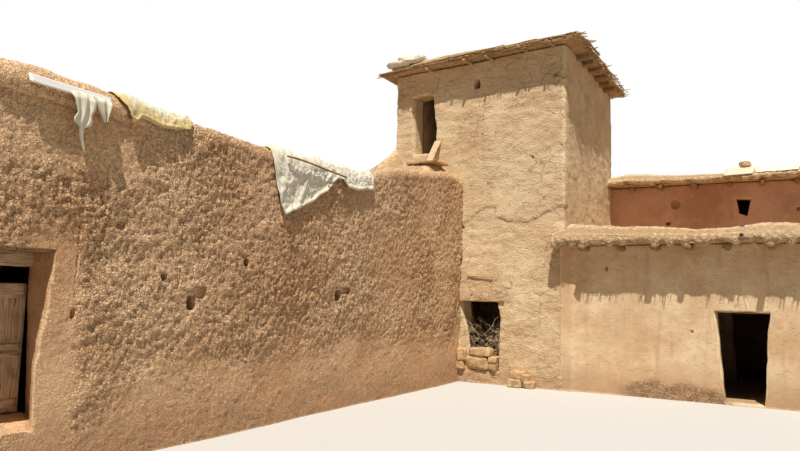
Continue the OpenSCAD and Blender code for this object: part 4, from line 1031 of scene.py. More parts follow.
class HOUSE_OT_court_wall(bpy.types.Operator):
    """Makes the west wing's court wall with its parapet, doorway, holes and sill"""
    bl_idname = "house.court_wall"
    bl_label = "Court wall"

    def execute(self, context):
        s = context.scene.house_sizes
        piece = wall_run("court_wall", [(-0.9, WING_Y, s.back_step / 2), (0, WING_Y, s.wing_step), (0, 0, 1)],
                         wing_relief, court_top, WALL_T, PARAPET_T, LEDGE, CROWN, s.wing_step,
                         round_off=14)
        cut(piece, groove([(-9.93, 2.72), (-9.91, 2.3), (-9.93, 1.78)], 0.011, 81),
            groove([(-9.62, 3.05), (-9.6, 2.5)], 0.008, 82), groove([(-8.52, 3.0), (-8.5, 2.4), (-8.52, 1.7)], 0.008, 83),
            groove([(-8.22, 3.1), (-8.2, 2.35)], 0.007, 84), groove([(-8.9, 3.3), (-8.92, 2.8)], 0.006, 85))
        rows = []
        for x in (0.4, 0.06, -0.04, -0.14, -0.26, -0.38, -0.46, -0.6):
            t = min(1, max(0, -x / 0.5))
            sill = 0.45 + 0.11 * min(1, t * 1.15)
            near = [(sill, -10.29, -10.04), (1.05, -10.31, -10.07), (1.35, -10.27, -10.09),
                    (1.6, -10.22, -10.11), (2.0, -10.19, -10.13), (2.29, -10.17, -10.15)]
            right = [(a * (1 - t) + b * t, z) for z, a, b in near]
            left = [(-21.55 - a, z) for a, z in right[::-1]]
            rows.append((x, right + left))
        door = tunnel(outlines([corners for _, corners in rows], 0.06), [x for x, _ in rows],
                      True, 0.012, 5)
        pits = [((0.0, -8.3, 1.74), (0.42, 0.17, 0.19), 3), ((0.02, -8.16, 1.88), (0.1, 0.2, 0.16), 9),
                ((0.0, -7.35, 2.31), (0.36, 0.1, 0.12), 4), ((0.0, -5.04, 1.88), (0.44, 0.19, 0.2), 5),
                ((0.02, -4.8, 1.97), (0.12, 0.26, 0.13), 6), ((0.02, -9.94, 1.62), (0.16, 0.06, 0.11), 7),
                ((0.0, -8.75, 2.05), (0.14, 0.1, 0.1), 8), ((0.0, -9.4, 2.62), (0.12, 0.13, 0.1), 10)]
        cut(piece, door, *[boulders("cutter", [pit]) for pit in pits])
        mark_hollows(piece)
        mark_rough(piece, lambda p: wing_rough(p)[0])
        dress(piece, "thrown_mud", "mud_plaster", "west_court_wall", "west_over_door",
              "west_court_parapet", "west_door_sill")
        return {"FINISHED"}


class HOUSE_OT_far_walls(bpy.types.Operator):
    """Makes the west wing's other three walls"""
    bl_idname = "house.far_walls"
    bl_label = "Far walls of the wing"

    def execute(self, context):
        step = context.scene.house_sizes.back_step
        piece = wall_run("wing_far_walls",
                         [(-0.45, 0, step), (WING_X, 0, step), (WING_X, WING_Y, step * 0.7), (-0.9, WING_Y, 1)],
                         wing_relief, wing_top, WALL_T, PARAPET_T, LEDGE, CROWN, step * 0.8, round_off=3)
        mark_hollows(piece)
        mark_rough(piece, lambda p: wing_rough(p)[0])
        dress(piece, "thrown_mud", "mud_plaster", "west_outer_wall", "west_south_wall", "west_north_wall")
        return {"FINISHED"}


class HOUSE_OT_tower_walls(bpy.types.Operator):
    """Makes the tower's walls with their doorways and the smoke hole"""
    bl_idname = "house.tower_walls"
    bl_label = "Tower walls"

    def execute(self, context):
        s = context.scene.house_sizes
        piece = wall_run(
            "tower_walls",
            [(TOWER_X0, 0, s.tower_step), (TOWER_X1, 0, s.tower_step * 1.4),
             (TOWER_X1, TOWER_Y1, s.back_step), (TOWER_X0, TOWER_Y1, s.back_step)],
            tower_relief, lambda x, y: tower_top(x, y) + TOWER_MAT - 0.004, 0.6, 0.5, 4.7, 0.03,
            s.tower_step, closed=True, round_off=5)
        low = tunnel(
            outlines([[(0.36 - 0.28 * t, 0.29), (1.0, 0.29), (0.99, 1.0), (1.03, 1.42), (0.97, 1.85),
                       (-0.02 + 0.1 * t, 1.85), (0.09, 1.55), (0.22 - 0.13 * t, 1.22), (0.33 - 0.25 * t, 0.84)]
                      for t in (0, 0.1, 0.5, 0.9, 1)], 0.06),
            (-0.4, -0.02, 0.2, 0.45, 0.8), False, 0.014, 15)
        slot = tunnel(
            outlines([[(-1.33 + 0.05 * t, 5.4), (-0.66, 5.4), (-0.68, 6.0), (-0.78, 6.82), (-0.95, 6.93),
                       (-1.4 + 0.12 * t, 6.87), (-1.37 + 0.08 * t, 6.1)] for t in (0, 0.1, 0.4, 0.8, 1)], 0.06),
            (-0.4, -0.02, 0.2, 0.4, 0.8), False, 0.018, 25)
        smoke = tunnel(outlines([[(0.28, 6.86), (0.45, 6.87), (0.46, 7.0), (0.42, 7.12), (0.3, 7.11)]] * 4,
                                0.03), (-0.4, 0.0, 0.3, 0.8), False, 0.01, 35)
        pits = [((0.01, 0.0, 3.56), (0.2, 0.16, 0.09), 13), ((0.03, 0.0, 3.06), (0.05, 0.14, 0.17), 14),
                ((0.04, 0.0, 2.78), (0.05, 0.14, 0.22), 15), ((2.28, 0.02, 6.96), (0.1, 0.12, 0.09), 16),
                ((0.0, 0.0, 2.35), (0.09, 0.1, 0.05), 17), ((1.75, 0.0, 5.1), (0.08, 0.08, 0.06), 18)]
        cut(piece, low, slot, smoke, *[boulders("cutter", [pit]) for pit in pits])
        mark_hollows(piece)
        dress(piece, "laid_mud", "mud_plaster", "tower_front_piers", "tower_front_wall",
              "tower_right_wall", "tower_back_wall", "tower_left_wall")
        return {"FINISHED"}


class HOUSE_OT_front_walls(bpy.types.Operator):
    """Makes the front room's walls with their doorway"""
    bl_idname = "house.front_walls"
    bl_label = "Front room walls"

    def execute(self, context):
        s = context.scene.house_sizes
        piece = wall_run("front_walls",
                         [(2.38, FRONT_Y0, s.front_step), (FRONT_X1, FRONT_Y0, s.back_step), (FRONT_X1, 4.55, 1)],
                         front_relief, lambda x, y: FRONT_MAT - 0.004 + 0 * x, 0.45, 0.45, 2.9, 0.02,
                         s.front_step, round_off=5)
        door = tunnel(
            outlines([[(5.56, 0.03), (6.24, 0.03), (6.28, 0.5), (6.31, 1.4), (6.38, 1.775), (5.35 + 0.1 * t, 1.775),
                       (5.46, 1.36), (5.49, 0.9)] for t in (0, 0.5, 1, 1)], 0.05),
            (-0.3, 0.08, 0.35, 0.8), False, 0.012, 45)
        pits = [((5.0, 0.1, 1.35), (0.05, 0.1, 0.04), 23), ((3.35, 0.1, 2.6), (0.05, 0.1, 0.1), 24),
                ((7.2, 0.1, 2.2), (0.06, 0.1, 0.05), 25)]
        cut(piece, door, *[boulders("cutter", [pit]) for pit in pits])
        mark_hollows(piece)
        mark_rough(piece, front_worn)
        dress(piece, "wiped_plaster", "mud_plaster", "front_wall", "front_over_door", "front_end_wall")
        return {"FINISHED"}


class HOUSE_OT_rear_walls(bpy.types.Operator):
    """Makes the rear block's walls with the upper window and the round patch"""
    bl_idname = "house.rear_walls"
    bl_label = "Rear block walls"

    def execute(self, context):
        s = context.scene.house_sizes
        piece = wall_run("rear_walls",
                         [(2.38, MID_Y0, s.front_step * 1.1), (FRONT_X1, MID_Y0, s.back_step),
                          (FRONT_X1, REAR_Y1, s.back_step), (2.38, REAR_Y1, s.back_step)],
                         rear_relief, lambda x, y: REAR_MAT - 0.004 + 0 * x, 0.57, 0.45, STOREY, 0.02,
                         s.front_step * 1.4, closed=True, round_off=2)
        door = tunnel(outlines([[(5.53, -0.2), (6.27, -0.2), (6.35, 1.765), (5.45, 1.765)]] * 3, 0.08),
                      (4.2, 4.8, 5.4), False, 0.01, 55)
        window = tunnel(outlines([[(5.67, 4.23), (5.86, 4.16), (5.95, 4.59), (5.61, 4.61)]] * 3, 0.05),
                        (4.2, 4.8, 5.4), False, 0.008, 65)
        turn = np.arange(28) / 28 * 2 * np.pi
        ring = np.stack([4.16 + 0.12 * np.cos(turn), 4.53 + 0.12 * np.sin(turn)], -1)
        patch = tunnel([ring, ring, ring * 0.94 + np.array([4.16, 4.53]) * 0.06],
                       (4.3, 4.6, 4.63), False, 0.01, 75)
        pits = [((3.97, 4.6, 4.02), (0.13, 0.3, 0.1), 33), ((6.99, 4.6, 4.3), (0.11, 0.22, 0.1), 34)]
        cut(piece, door, window, patch, *[boulders("cutter", [pit]) for pit in pits])
        mark_hollows(piece)
        dress(piece, "red_plaster", "mud_plaster", "mid_wall_upper", "rear_west_wall",
              "rear_end_wall", "rear_back_wall")
        return {"FINISHED"}


# Roofs


def earth_relief(height, seed):
    """Rolled and rain-worn roof earth: low swells, clods and crumbs of that height."""
    def relief(p):
        return octaves(p, 1.1, height * 0.9, seed, 3) + height * 0.6 * clods(p, 0.08, seed + 9)
    return relief


CREST = ((-2.2, 7.5), (-1.8, 7.6), (-1.0, 7.74), (-0.4, 7.81), (0.2, 7.83), (0.9, 7.81), (1.7, 7.8), (2.8, 7.82))
FRONT_LIP = ((2.3, 3.36), (2.68, 3.54), (3.3, 3.5), (4.3, 3.45), (5.2, 3.37), (5.9, 3.4), (6.3, 3.47),
             (6.9, 3.45), (9.6, 3.44))
REAR_LIP = ((2.5, 5.24), (3.0, 5.34), (3.8, 5.29), (4.5, 5.24), (5.3, 5.22), (6.1, 5.23), (7.0, 5.28),
            (9.6, 5.27))


def on_line(a, points):
    """The height of a line through (x, z) points, with a little sway."""
    line = np.stack([a, 0 * a, 0 * a], -1)
    return np.interp(a, *zip(*points)) + 0.012 * swell(line, 0.35, 211) + 0.008 * swell(line, 0.13, 212)


class HOUSE_OT_roof_earth(bpy.types.Operator):
    """Makes the earth of all the roofs and the bank up to the roof doorway"""
    bl_idname = "house.roof_earth"
    bl_label = "Roof earth"

    def execute(self, context):
        base = TOWER_MAT + MAT_T
        x = np.concatenate([graded(-2.1, 0.3, 0.04, 0.09, 0.8), graded(2.78, 0.3, 0.035, 0.09, 0.8)[::-1][1:]])
        y = np.concatenate([graded(-0.3, 2.3, 0.03, 0.12, 0.6), graded(4.9, 2.3, 0.05, 0.12, 0.6)[::-1][1:]])

        def tower_high(a, b):
            edge = np.minimum(np.minimum(a + 2.1, 2.78 - a), np.minimum(b + 0.3, 4.9 - b))
            return on_line(a, CREST) + 0.014 * (b + 0.38) - 0.1 * (1 - ease(edge / 0.28))

        tower = slab("tower_earth", x, y, lambda a, b: tower_top(a, b) + base + 0.002, tower_high,
                     0.04, earth_relief(0.022, 201), 6)
        mark_hollows(tower)
        dress(tower, "straw_earth", "roof_earth", "tower_roof_earth")

        x = np.arange(2.3, 9.6, 0.04)
        y = np.concatenate([np.linspace(-0.36, -0.2, 7), graded(-0.17, 4.62, 0.03, 0.16, 1.2)])

        def drooping(level, edge, depth, seed):
            """The underside: level, but let down by the depth along the front edge."""
            def low(a, b):
                line = np.stack([a, 0 * a, 0 * a], -1)
                sag = depth * (1 + 0.6 * swell(line, 0.5, seed) + 0.8 * swell(line, 0.13, seed + 1))
                return level + 0.002 - sag * ease((edge - b) / 0.05)
            return low

        def front_high(a, b):
            flat = FRONT_MAT + MAT_T + 0.18
            return (flat + (on_line(a, FRONT_LIP) - flat) * np.exp(-((b + 0.15) / 0.2) ** 2)
                    - 0.08 * ease((-0.24 - b) / 0.12))

        front = slab("front_earth", x, y, drooping(FRONT_MAT + MAT_T, -0.29, 0.07, 215), front_high,
                     0.045, earth_relief(0.026, 221), 8)
        gully = boulders("cutter", [((5.95, 0.05, 3.42), (0.13, 0.75, 0.3), 2)])
        cut(front, gully)
        mark_hollows(front)
        dress(front, "straw_earth", "roof_earth", "front_roof_earth")

        x = np.arange(2.42, 9.62, 0.045)
        y = np.concatenate([np.linspace(4.09, 4.38, 9), graded(4.42, 8.36, 0.04, 0.16, 1.0)])

        def rear_high(a, b):
            flat = REAR_MAT + MAT_T + 0.12
            return (flat + (on_line(a, REAR_LIP) - flat) * np.exp(-((b - 4.28) / 0.19) ** 2)
                    - 0.06 * ease((4.2 - b) / 0.1))

        rear = slab("rear_earth", x, y, drooping(REAR_MAT + MAT_T, 4.16, 0.045, 235), rear_high,
                    0.035, earth_relief(0.02, 241), 6)
        mark_hollows(rear)
        dress(rear, "straw_earth", "roof_earth", "rear_roof_earth")

        wing = slab("wing_earth", np.arange(-3.95, -0.2, 0.1), np.arange(-12.75, -0.2, 0.1),
                    lambda a, b: 3.606 + 0 * a, lambda a, b: 3.79 + 0 * a, 0.0, earth_relief(0.016, 251), 1)
        dress(wing, "straw_earth", "roof_earth", "west_roof_earth")

        def bank_high(a, b):
            heap = 3.81 + (5.1 - 3.81) * np.minimum(ease((b + 2.6) / 2.5), ease((a + 2.75) / 0.85))
            heap -= 0.28 * (1 - ease((-0.2 - a) / 0.45))
            aside = np.exp(-np.clip(-1.85 - a, 0, 9) / 0.26) * (1 - ease((a + 1.85) / 0.4))
            flare = 0.48 * aside * np.exp(b / 0.55)
            return heap + flare

        bank = slab("earth_bank", np.arange(-2.74, -0.2, 0.05), np.arange(-2.6, 0.06, 0.05),
                    lambda a, b: 3.7 + 0 * a, bank_high, 0.03, earth_relief(0.04, 261), 2)
        mark_hollows(bank)
        dress(bank, "straw_earth", "roof_earth", "roof_bank")
        return {"FINISHED"}


def on_tower(points):
    """Points from the tower top's own tilted frame: turned about X by the rise, then about
    Y by the fall, and moved to the middle of its top."""
    a, b = math.atan(TILT_Y), math.atan(TILT_X)
    x, y, z = points[..., 0], points[..., 1], points[..., 2]
    y, z = y * math.cos(a) - z * math.sin(a), y * math.sin(a) + z * math.cos(a)
    x, z = x * math.cos(b) - z * math.sin(b), x * math.sin(b) + z * math.cos(b)
    return np.stack([x + TOWER_CX, y + TOWER_CY, z + TOWER_H], -1)


def log_radii(paths, size, seed):
    """Radii of logs that taper by a tenth and swell at their knots."""
    t = np.linspace(0, 1, paths.shape[1])[None]
    r = np.asarray(size)[:, None] / 2 * (1 - 0.1 * t)
    return r * (1 + 0.05 * swell(paths * 1.0, 0.35, seed))


class HOUSE_OT_logs(bpy.types.Operator):
    """Makes the roof logs of the tower, the front room and the rear block, and edge poles"""
    bl_idname = "house.logs"
    bl_label = "Roof logs"

    def execute(self, context):
        i = np.arange(6)
        y = (i - 2.5) * 0.58 + uneven(i, 3) * 0.14 * 0.3
        d = 0.14 * (1 - 0.12 * np.abs(uneven(i, 2)))
        ends = 2.175 + 0.42 * (0.8 + 0.2 * uneven(i, 5))
        start = np.stack([0 * y - 2.175 - 0.12, y, d / 2], -1)
        end = np.stack([ends, y, d / 2], -1)
        path = on_tower(straight_paths(start, end, 40, 0.015, 301))
        logs = rod_mesh("tower_logs", [(path, log_radii(path, d, 303), 14)])
        dress(logs, "peeled_log_x", "round_logs", "tower_roof_logs")

        i = np.arange(9)
        x = 2.5 + 0.48 + i * 0.68 + uneven(i, 7) * 0.15 * 0.3
        d = 0.15 * (1 - 0.15 * np.abs(uneven(i, 8)))
        y0 = FRONT_Y0 - 0.47 * (0.93 + 0.07 * uneven(i, 9)) * np.where(np.isin(i, (0, 2, 3, 5, 7)), 1.2, 0.6)
        start = np.stack([x, y0, STOREY + d / 2], -1)
        end = np.stack([x, 0 * x + 4.6, STOREY + d / 2], -1)
        path = straight_paths(start, end, 36, 0.01, 311)
        logs = rod_mesh("front_logs", [(path, log_radii(path, d, 313), 14)])
        dress(logs, "peeled_log_y", "round_logs", "front_roof_logs")

        i = np.arange(8)
        x = 2.5 + 0.58 + i * 0.79 + uneven(i, 13) * 0.14 * 0.3
        d = 0.14 * (1 - 0.15 * np.abs(uneven(i, 14)))
        y0 = MID_Y0 - 0.3 * np.where(np.isin(i, (1, 2, 4, 6)), 1.65, 0.9)
        start = np.stack([x, y0, REAR_H + d / 2], -1)
        end = np.stack([x, 0 * x + REAR_Y1 + 0.21, REAR_H + d / 2], -1)
        path = straight_paths(start, end, 36, 0.01, 321)
        logs = rod_mesh("rear_logs", [(path, log_radii(path, d, 323), 14)])
        dress(logs, "peeled_log_y", "round_logs", "rear_roof_logs")

        a, b = scattered(30, 331), scattered(30, 332)
        start = np.stack([-2.4 + 3.9 * a[:, 0], -2.69 - 0.06 * a[:, 1], TOWER_MAT - 0.04 + 0.1 * a[:, 2]], -1)
        end = start + np.stack([0.9 + 2.6 * b[:, 0], 0.03 * (b[:, 1] - 0.5), 0.1 * (b[:, 2] - 0.5)], -1)
        end[:, 0] = np.minimum(end[:, 0], 2.5 + 0.14 * b[:, 1])
        start[:3], end[:3] = [(-2.5, -2.7, 0.13), (-2.56, -2.66, 0.11), (-2.46, -2.72, 0.16)], [
            (-1.1, -2.72, 0.17), (0.2, -2.72, 0.15), (0.9, -2.74, 0.2)]
        along = on_tower(straight_paths(start, end, 26, 0.03, 333))
        a, b = scattered(46, 341), scattered(46, 342)
        start = np.stack([2.42 + 0.13 * a[:, 0], -2.74 + 4.6 * a[:, 1], TOWER_MAT - 0.03 + 0.2 * a[:, 2]], -1)
        end = start + np.stack([0.12 * (b[:, 0] - 0.4), 0.5 + 1.5 * b[:, 1], 0.09 * (b[:, 2] - 0.5)], -1)
        end[:, 1] = np.minimum(end[:, 1], 2.62)
        beside = on_tower(straight_paths(start, end, 20, 0.03, 343))
        poles = rod_mesh("edge_poles", [
            (along, log_radii(along, 0.018 + 0.032 * scattered(30, 334)[:, 0] ** 2, 344), 8),
            (beside, log_radii(beside, 0.016 + 0.036 * scattered(46, 345)[:, 0] ** 2, 346), 8)])
        dress(poles, "peeled_log_x", "round_logs", "tower_edge_poles")
        return {"FINISHED"}


def cane_rows(x0, x1, y0, y1, plane, along_x, size, ragged, seed, stations_n=9):
    """Canes laid side by side over a plan rectangle at plane(x, y), with ragged ends."""
    span = (y0, y1) if along_x else (x0, x1)
    count = int((span[1] - span[0]) / (size * 0.96))
    i = np.arange(count)
    across = span[0] + (i + 0.5) * (span[1] - span[0]) / count
    first = (x0 if along_x else y0) + ragged * (hashed(np.stack([i, i * 0, i * 0], -1), seed) - 0.6)
    last = (x1 if along_x else y1) + ragged * (hashed(np.stack([i, i * 0 + 1, i * 0], -1), seed) - 0.4)
    t = np.linspace(0, 1, stations_n)[None]
    along = first[:, None] * (1 - t) + last[:, None] * t
    aside = np.broadcast_to(across[:, None], along.shape)
    x, y = (along, aside) if along_x else (aside, along)
    path = np.stack([x, y, plane(x, y) + MAT_T / 2], -1)
    wobble = path * 1.0 + i[:, None, None] * 0.91
    path[..., 2] += 0.005 * swell(wobble, 0.5, seed + 1)
    path[..., 1 if along_x else 0] += 0.006 * swell(wobble, 0.7, seed + 2)
    r = size / 2 * (0.8 + 0.35 * hashed(np.stack([i, i * 0 + 2, i * 0], -1), seed))[:, None] + 0 * t
    return path, r, 5


class HOUSE_OT_canes(bpy.types.Operator):
    """Makes the cane mats under the roof earth and the upper floors"""
    bl_idname = "house.canes"
    bl_label = "Cane mats"

    def execute(self, context):
        d = context.scene.house_sizes.cane_d
        groups = [
            cane_rows(-2.16, 2.82, -0.36, 4.93, lambda x, y: tower_top(x, y) + TOWER_MAT, False, d, 0.16, 401, 12),
            cane_rows(2.42, 9.56, -0.3, 4.6, lambda x, y: FRONT_MAT + 0 * x, True, d, 0.1, 411, 12),
            cane_rows(2.42, 9.56, 4.14, 8.38, lambda x, y: REAR_MAT + 0 * x, True, d, 0.1, 421, 12),
            cane_rows(-3.92, -0.28, -12.72, -0.28, lambda x, y: 3.5703 + 0 * x, False, d * 1.3, 0.02, 431),
            cane_rows(-1.43, 2.08, 0.5, 4.2, lambda x, y: 4.8503 + 0 * x, False, d * 1.3, 0.02, 441, 5),
            cane_rows(2.95, 8.95, 5.05, 7.75, lambda x, y: 3.1003 + 0 * x, True, d * 1.3, 0.02, 451, 5)]
        mats = rod_mesh("canes", groups)
        dress(mats, "dry_cane", "cane", "cane_mats")
        return {"FINISHED"}


def scattered(count, seed):
    """count rows of three even random numbers from 0 to 1, the same each time."""
    return np.random.default_rng(seed).random((count, 3))


def fringe(x0, x1, y, z, count, longest, seed, stray=0.35):
    """Twigs that hang from an edge along X: short, bent, leaning out and sideways."""
    a, b = scattered(count, seed), scattered(count, seed + 1)
    cluster = 0.45 + 0.9 * np.clip(swell(np.stack([x0 + a[:, 0] * (x1 - x0), 0 * a[:, 0], 0 * a[:, 0]], -1),
                                         0.35, seed), 0, 1)
    start = np.stack([x0 + a[:, 0] * (x1 - x0), y + 0.09 * a[:, 1], z + 0.05 * a[:, 2]], -1)
    way = np.stack([stray * (b[:, 0] - 0.5) * 2, -0.9 * b[:, 1] + 0.1, -0.25 - b[:, 2]], -1)
    way /= np.linalg.norm(way, axis=1)[:, None]
    length = longest * cluster * (0.25 + 0.75 * b[:, 0:1].ravel() ** 2 + 0.1)
    end = start + way * length[:, None]
    path = straight_paths(start - way * 0.05, end, 5, 0.012, seed + 3)
    r = (0.0025 + 0.004 * a[:, 2] ** 2)[:, None] * np.linspace(1.1, 0.5, 5)[None]
    return path, r, 4


class HOUSE_OT_twigs(bpy.types.Operator):
    """Makes the twigs, straw and laths along the roofs' edges, and the stick in the wall"""
    bl_idname = "house.twigs"
    bl_label = "Twigs and laths"

    def execute(self, context):
        s = context.scene.house_sizes
        groups = [fringe(2.38, 9.6, -0.34, FRONT_MAT - 0.005, 750, s.twig_l * 0.8, 501),
                  fringe(2.5, 9.6, 4.1, REAR_MAT, 480, s.twig_l * 0.7, 511),
                  fringe(2.38, 9.6, -0.36, FRONT_MAT + 0.01, 160, s.twig_l * 1.3, 561, 0.6)]
        for x1, y1, z1, count, reach, seed in ((9.6, -0.3, FRONT_MAT, 300, 0.08, 581),
                                               (9.6, 4.17, REAR_MAT, 150, 0.06, 591)):
            a, b = scattered(count, seed), scattered(count, seed + 1)
            start = np.stack([2.4 + (x1 - 2.4) * a[:, 0], y1 + 0 * a[:, 1], z1 + 0.03 * a[:, 2]], -1)
            patchy = 0.35 + 1.3 * np.clip(0.5 + swell(start * np.array([1, 0, 0]), 0.4, seed), 0, 1)
            way = np.stack([0.5 * (b[:, 0] - 0.5), -1 + 0 * b[:, 1], 0.3 * (b[:, 2] - 0.6)], -1)
            path = straight_paths(start, start + way * (0.07 + reach * patchy * a[:, 1] ** 1.6)[:, None], 5, 0.006,
                                  seed + 2)
            groups.append((path, (0.007 + 0.009 * b[:, 1] ** 2)[:, None] * np.linspace(1.2, 0.5, 5)[None], 5))
        a, b = scattered(520, 521), scattered(520, 522)
        start = np.stack([-2.45 + 4.95 * a[:, 0], -2.62 - 0.05 * a[:, 1], TOWER_MAT + 0.05 * a[:, 2]], -1)
        way = np.stack([1.4 * (b[:, 0] - 0.5), -0.5 - 0.2 * b[:, 1], 0.5 * (b[:, 2] - 0.7)], -1)
        path = on_tower(straight_paths(start, start + way * (0.05 + 0.16 * b[:, 1:2] ** 2), 4, 0.01, 523))
        groups.append((path, (0.003 + 0.004 * a[:, 2] ** 2)[:, None] * np.linspace(1.1, 0.5, 4)[None], 4))
        a, b = scattered(150, 531), scattered(150, 532)
        start = np.stack([2.3 + 0.12 * a[:, 0], -2.6 + 5.2 * a[:, 1], TOWER_MAT - 0.01 + 0.16 * a[:, 2]], -1)
        way = np.stack([0.8 + 0 * a[:, 0], 1.3 * (b[:, 0] - 0.3), 0.5 * (b[:, 1] - 0.5)], -1)
        length = 0.18 + 0.22 * b[:, 2:3] ** 2.5
        path = on_tower(straight_paths(start, start + way * length, 6, 0.03, 533))
        groups.append((path, (0.006 + 0.016 * a[:, 2] ** 2)[:, None] * np.linspace(1.1, 0.7, 6)[None], 6))
        stubs = [(0.2, -0.46, 7.46), (0.75, -0.44, 7.47), (1.55, -0.46, 7.57), (-0.8, -0.43, 7.4), (2.2, -0.45, 7.6)]
        path = straight_paths(stubs, np.array(stubs) + np.array([0.04, 0.5, 0.03]), 6, 0.01, 535)
        groups.append((path, np.full((5, 6), 0.032) * np.linspace(0.8, 1.1, 6)[None], 8))
        laths = straight_paths([(4.95, -0.36, 3.085), (6.9, -0.35, 3.11), (2.4, -0.33, 3.13), (5.0, 4.3, 5.03),
                                (3.1, 4.31, 5.02)],
                               [(6.55, -0.37, 3.12), (9.4, -0.36, 3.1), (4.2, -0.36, 3.09), (9.5, 4.3, 5.05),
                                (4.9, 4.3, 5.04)], 30, 0.03, 541)
        groups.append((laths, np.full((5, 30), 0.014) * (1 + 0.2 * uneven(np.arange(30), 4))[None], 8))
        stick = straight_paths([(0.2, -0.03, 2.425), (2.2, 0.02, 6.72)], [(0.84, -0.035, 2.395), (2.34, -0.06, 6.86)],
                               14, 0.01, 551)
        groups.append((stick, np.full((2, 14), 0.013), 8))
        twigs = rod_mesh("edge_twigs", groups)
        dress(twigs, "dry_cane", "cane")
        a, b = scattered(110, 571), scattered(110, 572)
        start = np.stack([0.12 + 0.82 * a[:, 0], 0.08 + 0.28 * a[:, 1], 0.42 + 0.85 * a[:, 2] ** 1.6], -1)
        way = np.stack([2.0 * (b[:, 0] - 0.5), 0.3 * (b[:, 1] - 0.5), 1.4 * b[:, 2] - 0.3], -1)
        end = start + way * (0.3 + 0.35 * a[:, :1])
        end[:, 0] = np.clip(end[:, 0], 0.14, 0.93)
        end[:, 2] = np.minimum(end[:, 2], 1.78)
        path = straight_paths(start, end, 18, 0.13, 573) + 0.05 * np.stack(
            [swell(start[:, None] + np.linspace(0, 1, 18)[None, :, None], 0.25, 574 + k) for k in range(3)], -1)
        path[..., 0] = np.clip(path[..., 0], 0.12 + 0.0 * path[..., 2], 0.96)
        brush = rod_mesh("doorway_brush", [(path, np.full((110, 18), 0.0027), 4)])
        dress(brush, "pale_brush", "cane")
        return {"FINISHED"}


# Door, lintels and stones


class HOUSE_OT_door(bpy.types.Operator):
    """Makes the west door's planks and rails and all the lintels, and gives the door's post and head timbers and other
    frame parts their finishes
    """
    bl_idname = "house.door"
    bl_label = "Door and lintels"

    def execute(self, context):
        low, high = (np.array(v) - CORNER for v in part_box("west_door_planks"))
        w = (high[1] - low[1] - 0.012) / 4
        places = []
        for k in range(4):
            y = low[1] + k * (w + 0.004)
            places.append((low[0], high[0], y, y + w, low[2] + 0.004 * (k % 2), high[2] - 0.012 * ((k * 2) % 3),
                           2, 600 + k * 9))
        planks = boards("door_planks", places)
        mark_hollows(planks)
        dress(planks, "door_wood_z", "old_wood", "west_door_planks", body="west_door")
        low, high = (np.array(v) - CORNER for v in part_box("west_door_rails"))
        mid = 0.57 + 1.36 * 0.42
        levels = [(high[2] - 0.16, high[2]), (mid + 0.09, mid + 0.15), (mid, mid + 0.06), (0.63, 0.72)]
        rails = boards("door_rails", [(low[0], high[0], low[1], high[1], a, b, 1, 640 + k * 7)
                                      for k, (a, b) in enumerate(levels)])
        mark_hollows(rails)
        dress(rails, "door_wood_y", "old_wood", "west_door_rails", body="west_door")
        for node in ("west_door_post",):
            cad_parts[node].data.materials.clear()
            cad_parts[node].data.materials.append(bpy.data.materials["door_wood_z"])
        for node, finish in (("west_door_frame", "door_wood_y"), ("west_roof_logs", "peeled_log_x"),
                             ("floor_logs", "peeled_log_x"), ("upper_floors", "straw_earth"),
                             ("earth_floors", "straw_earth"), ("mid_wall_base", "wiped_plaster"),
                             ("roof_spout", "grey_pvc")):
            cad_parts[node].data.materials.clear()
            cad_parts[node].data.materials.append(bpy.data.materials[finish])
        lintels = boards("lintels", [
            (-0.43, -0.05, -11.55, -10.0, 2.25, 2.33, 1, 661, 0.004),
            (-0.1, 1.12, -0.05, 0.5, 1.83, 1.87, 0, 662, 0.004),
            (5.28, 6.52, 0.15, 0.55, 1.745, 1.79, 0, 663, 0.004),
            (5.3, 6.5, 4.48, 5.17, 1.74, 1.785, 0, 664, 0.004)])
        mark_hollows(lintels)
        dress(lintels, "lintel_wood", "old_wood", "door_lintels")
        return {"FINISHED"}


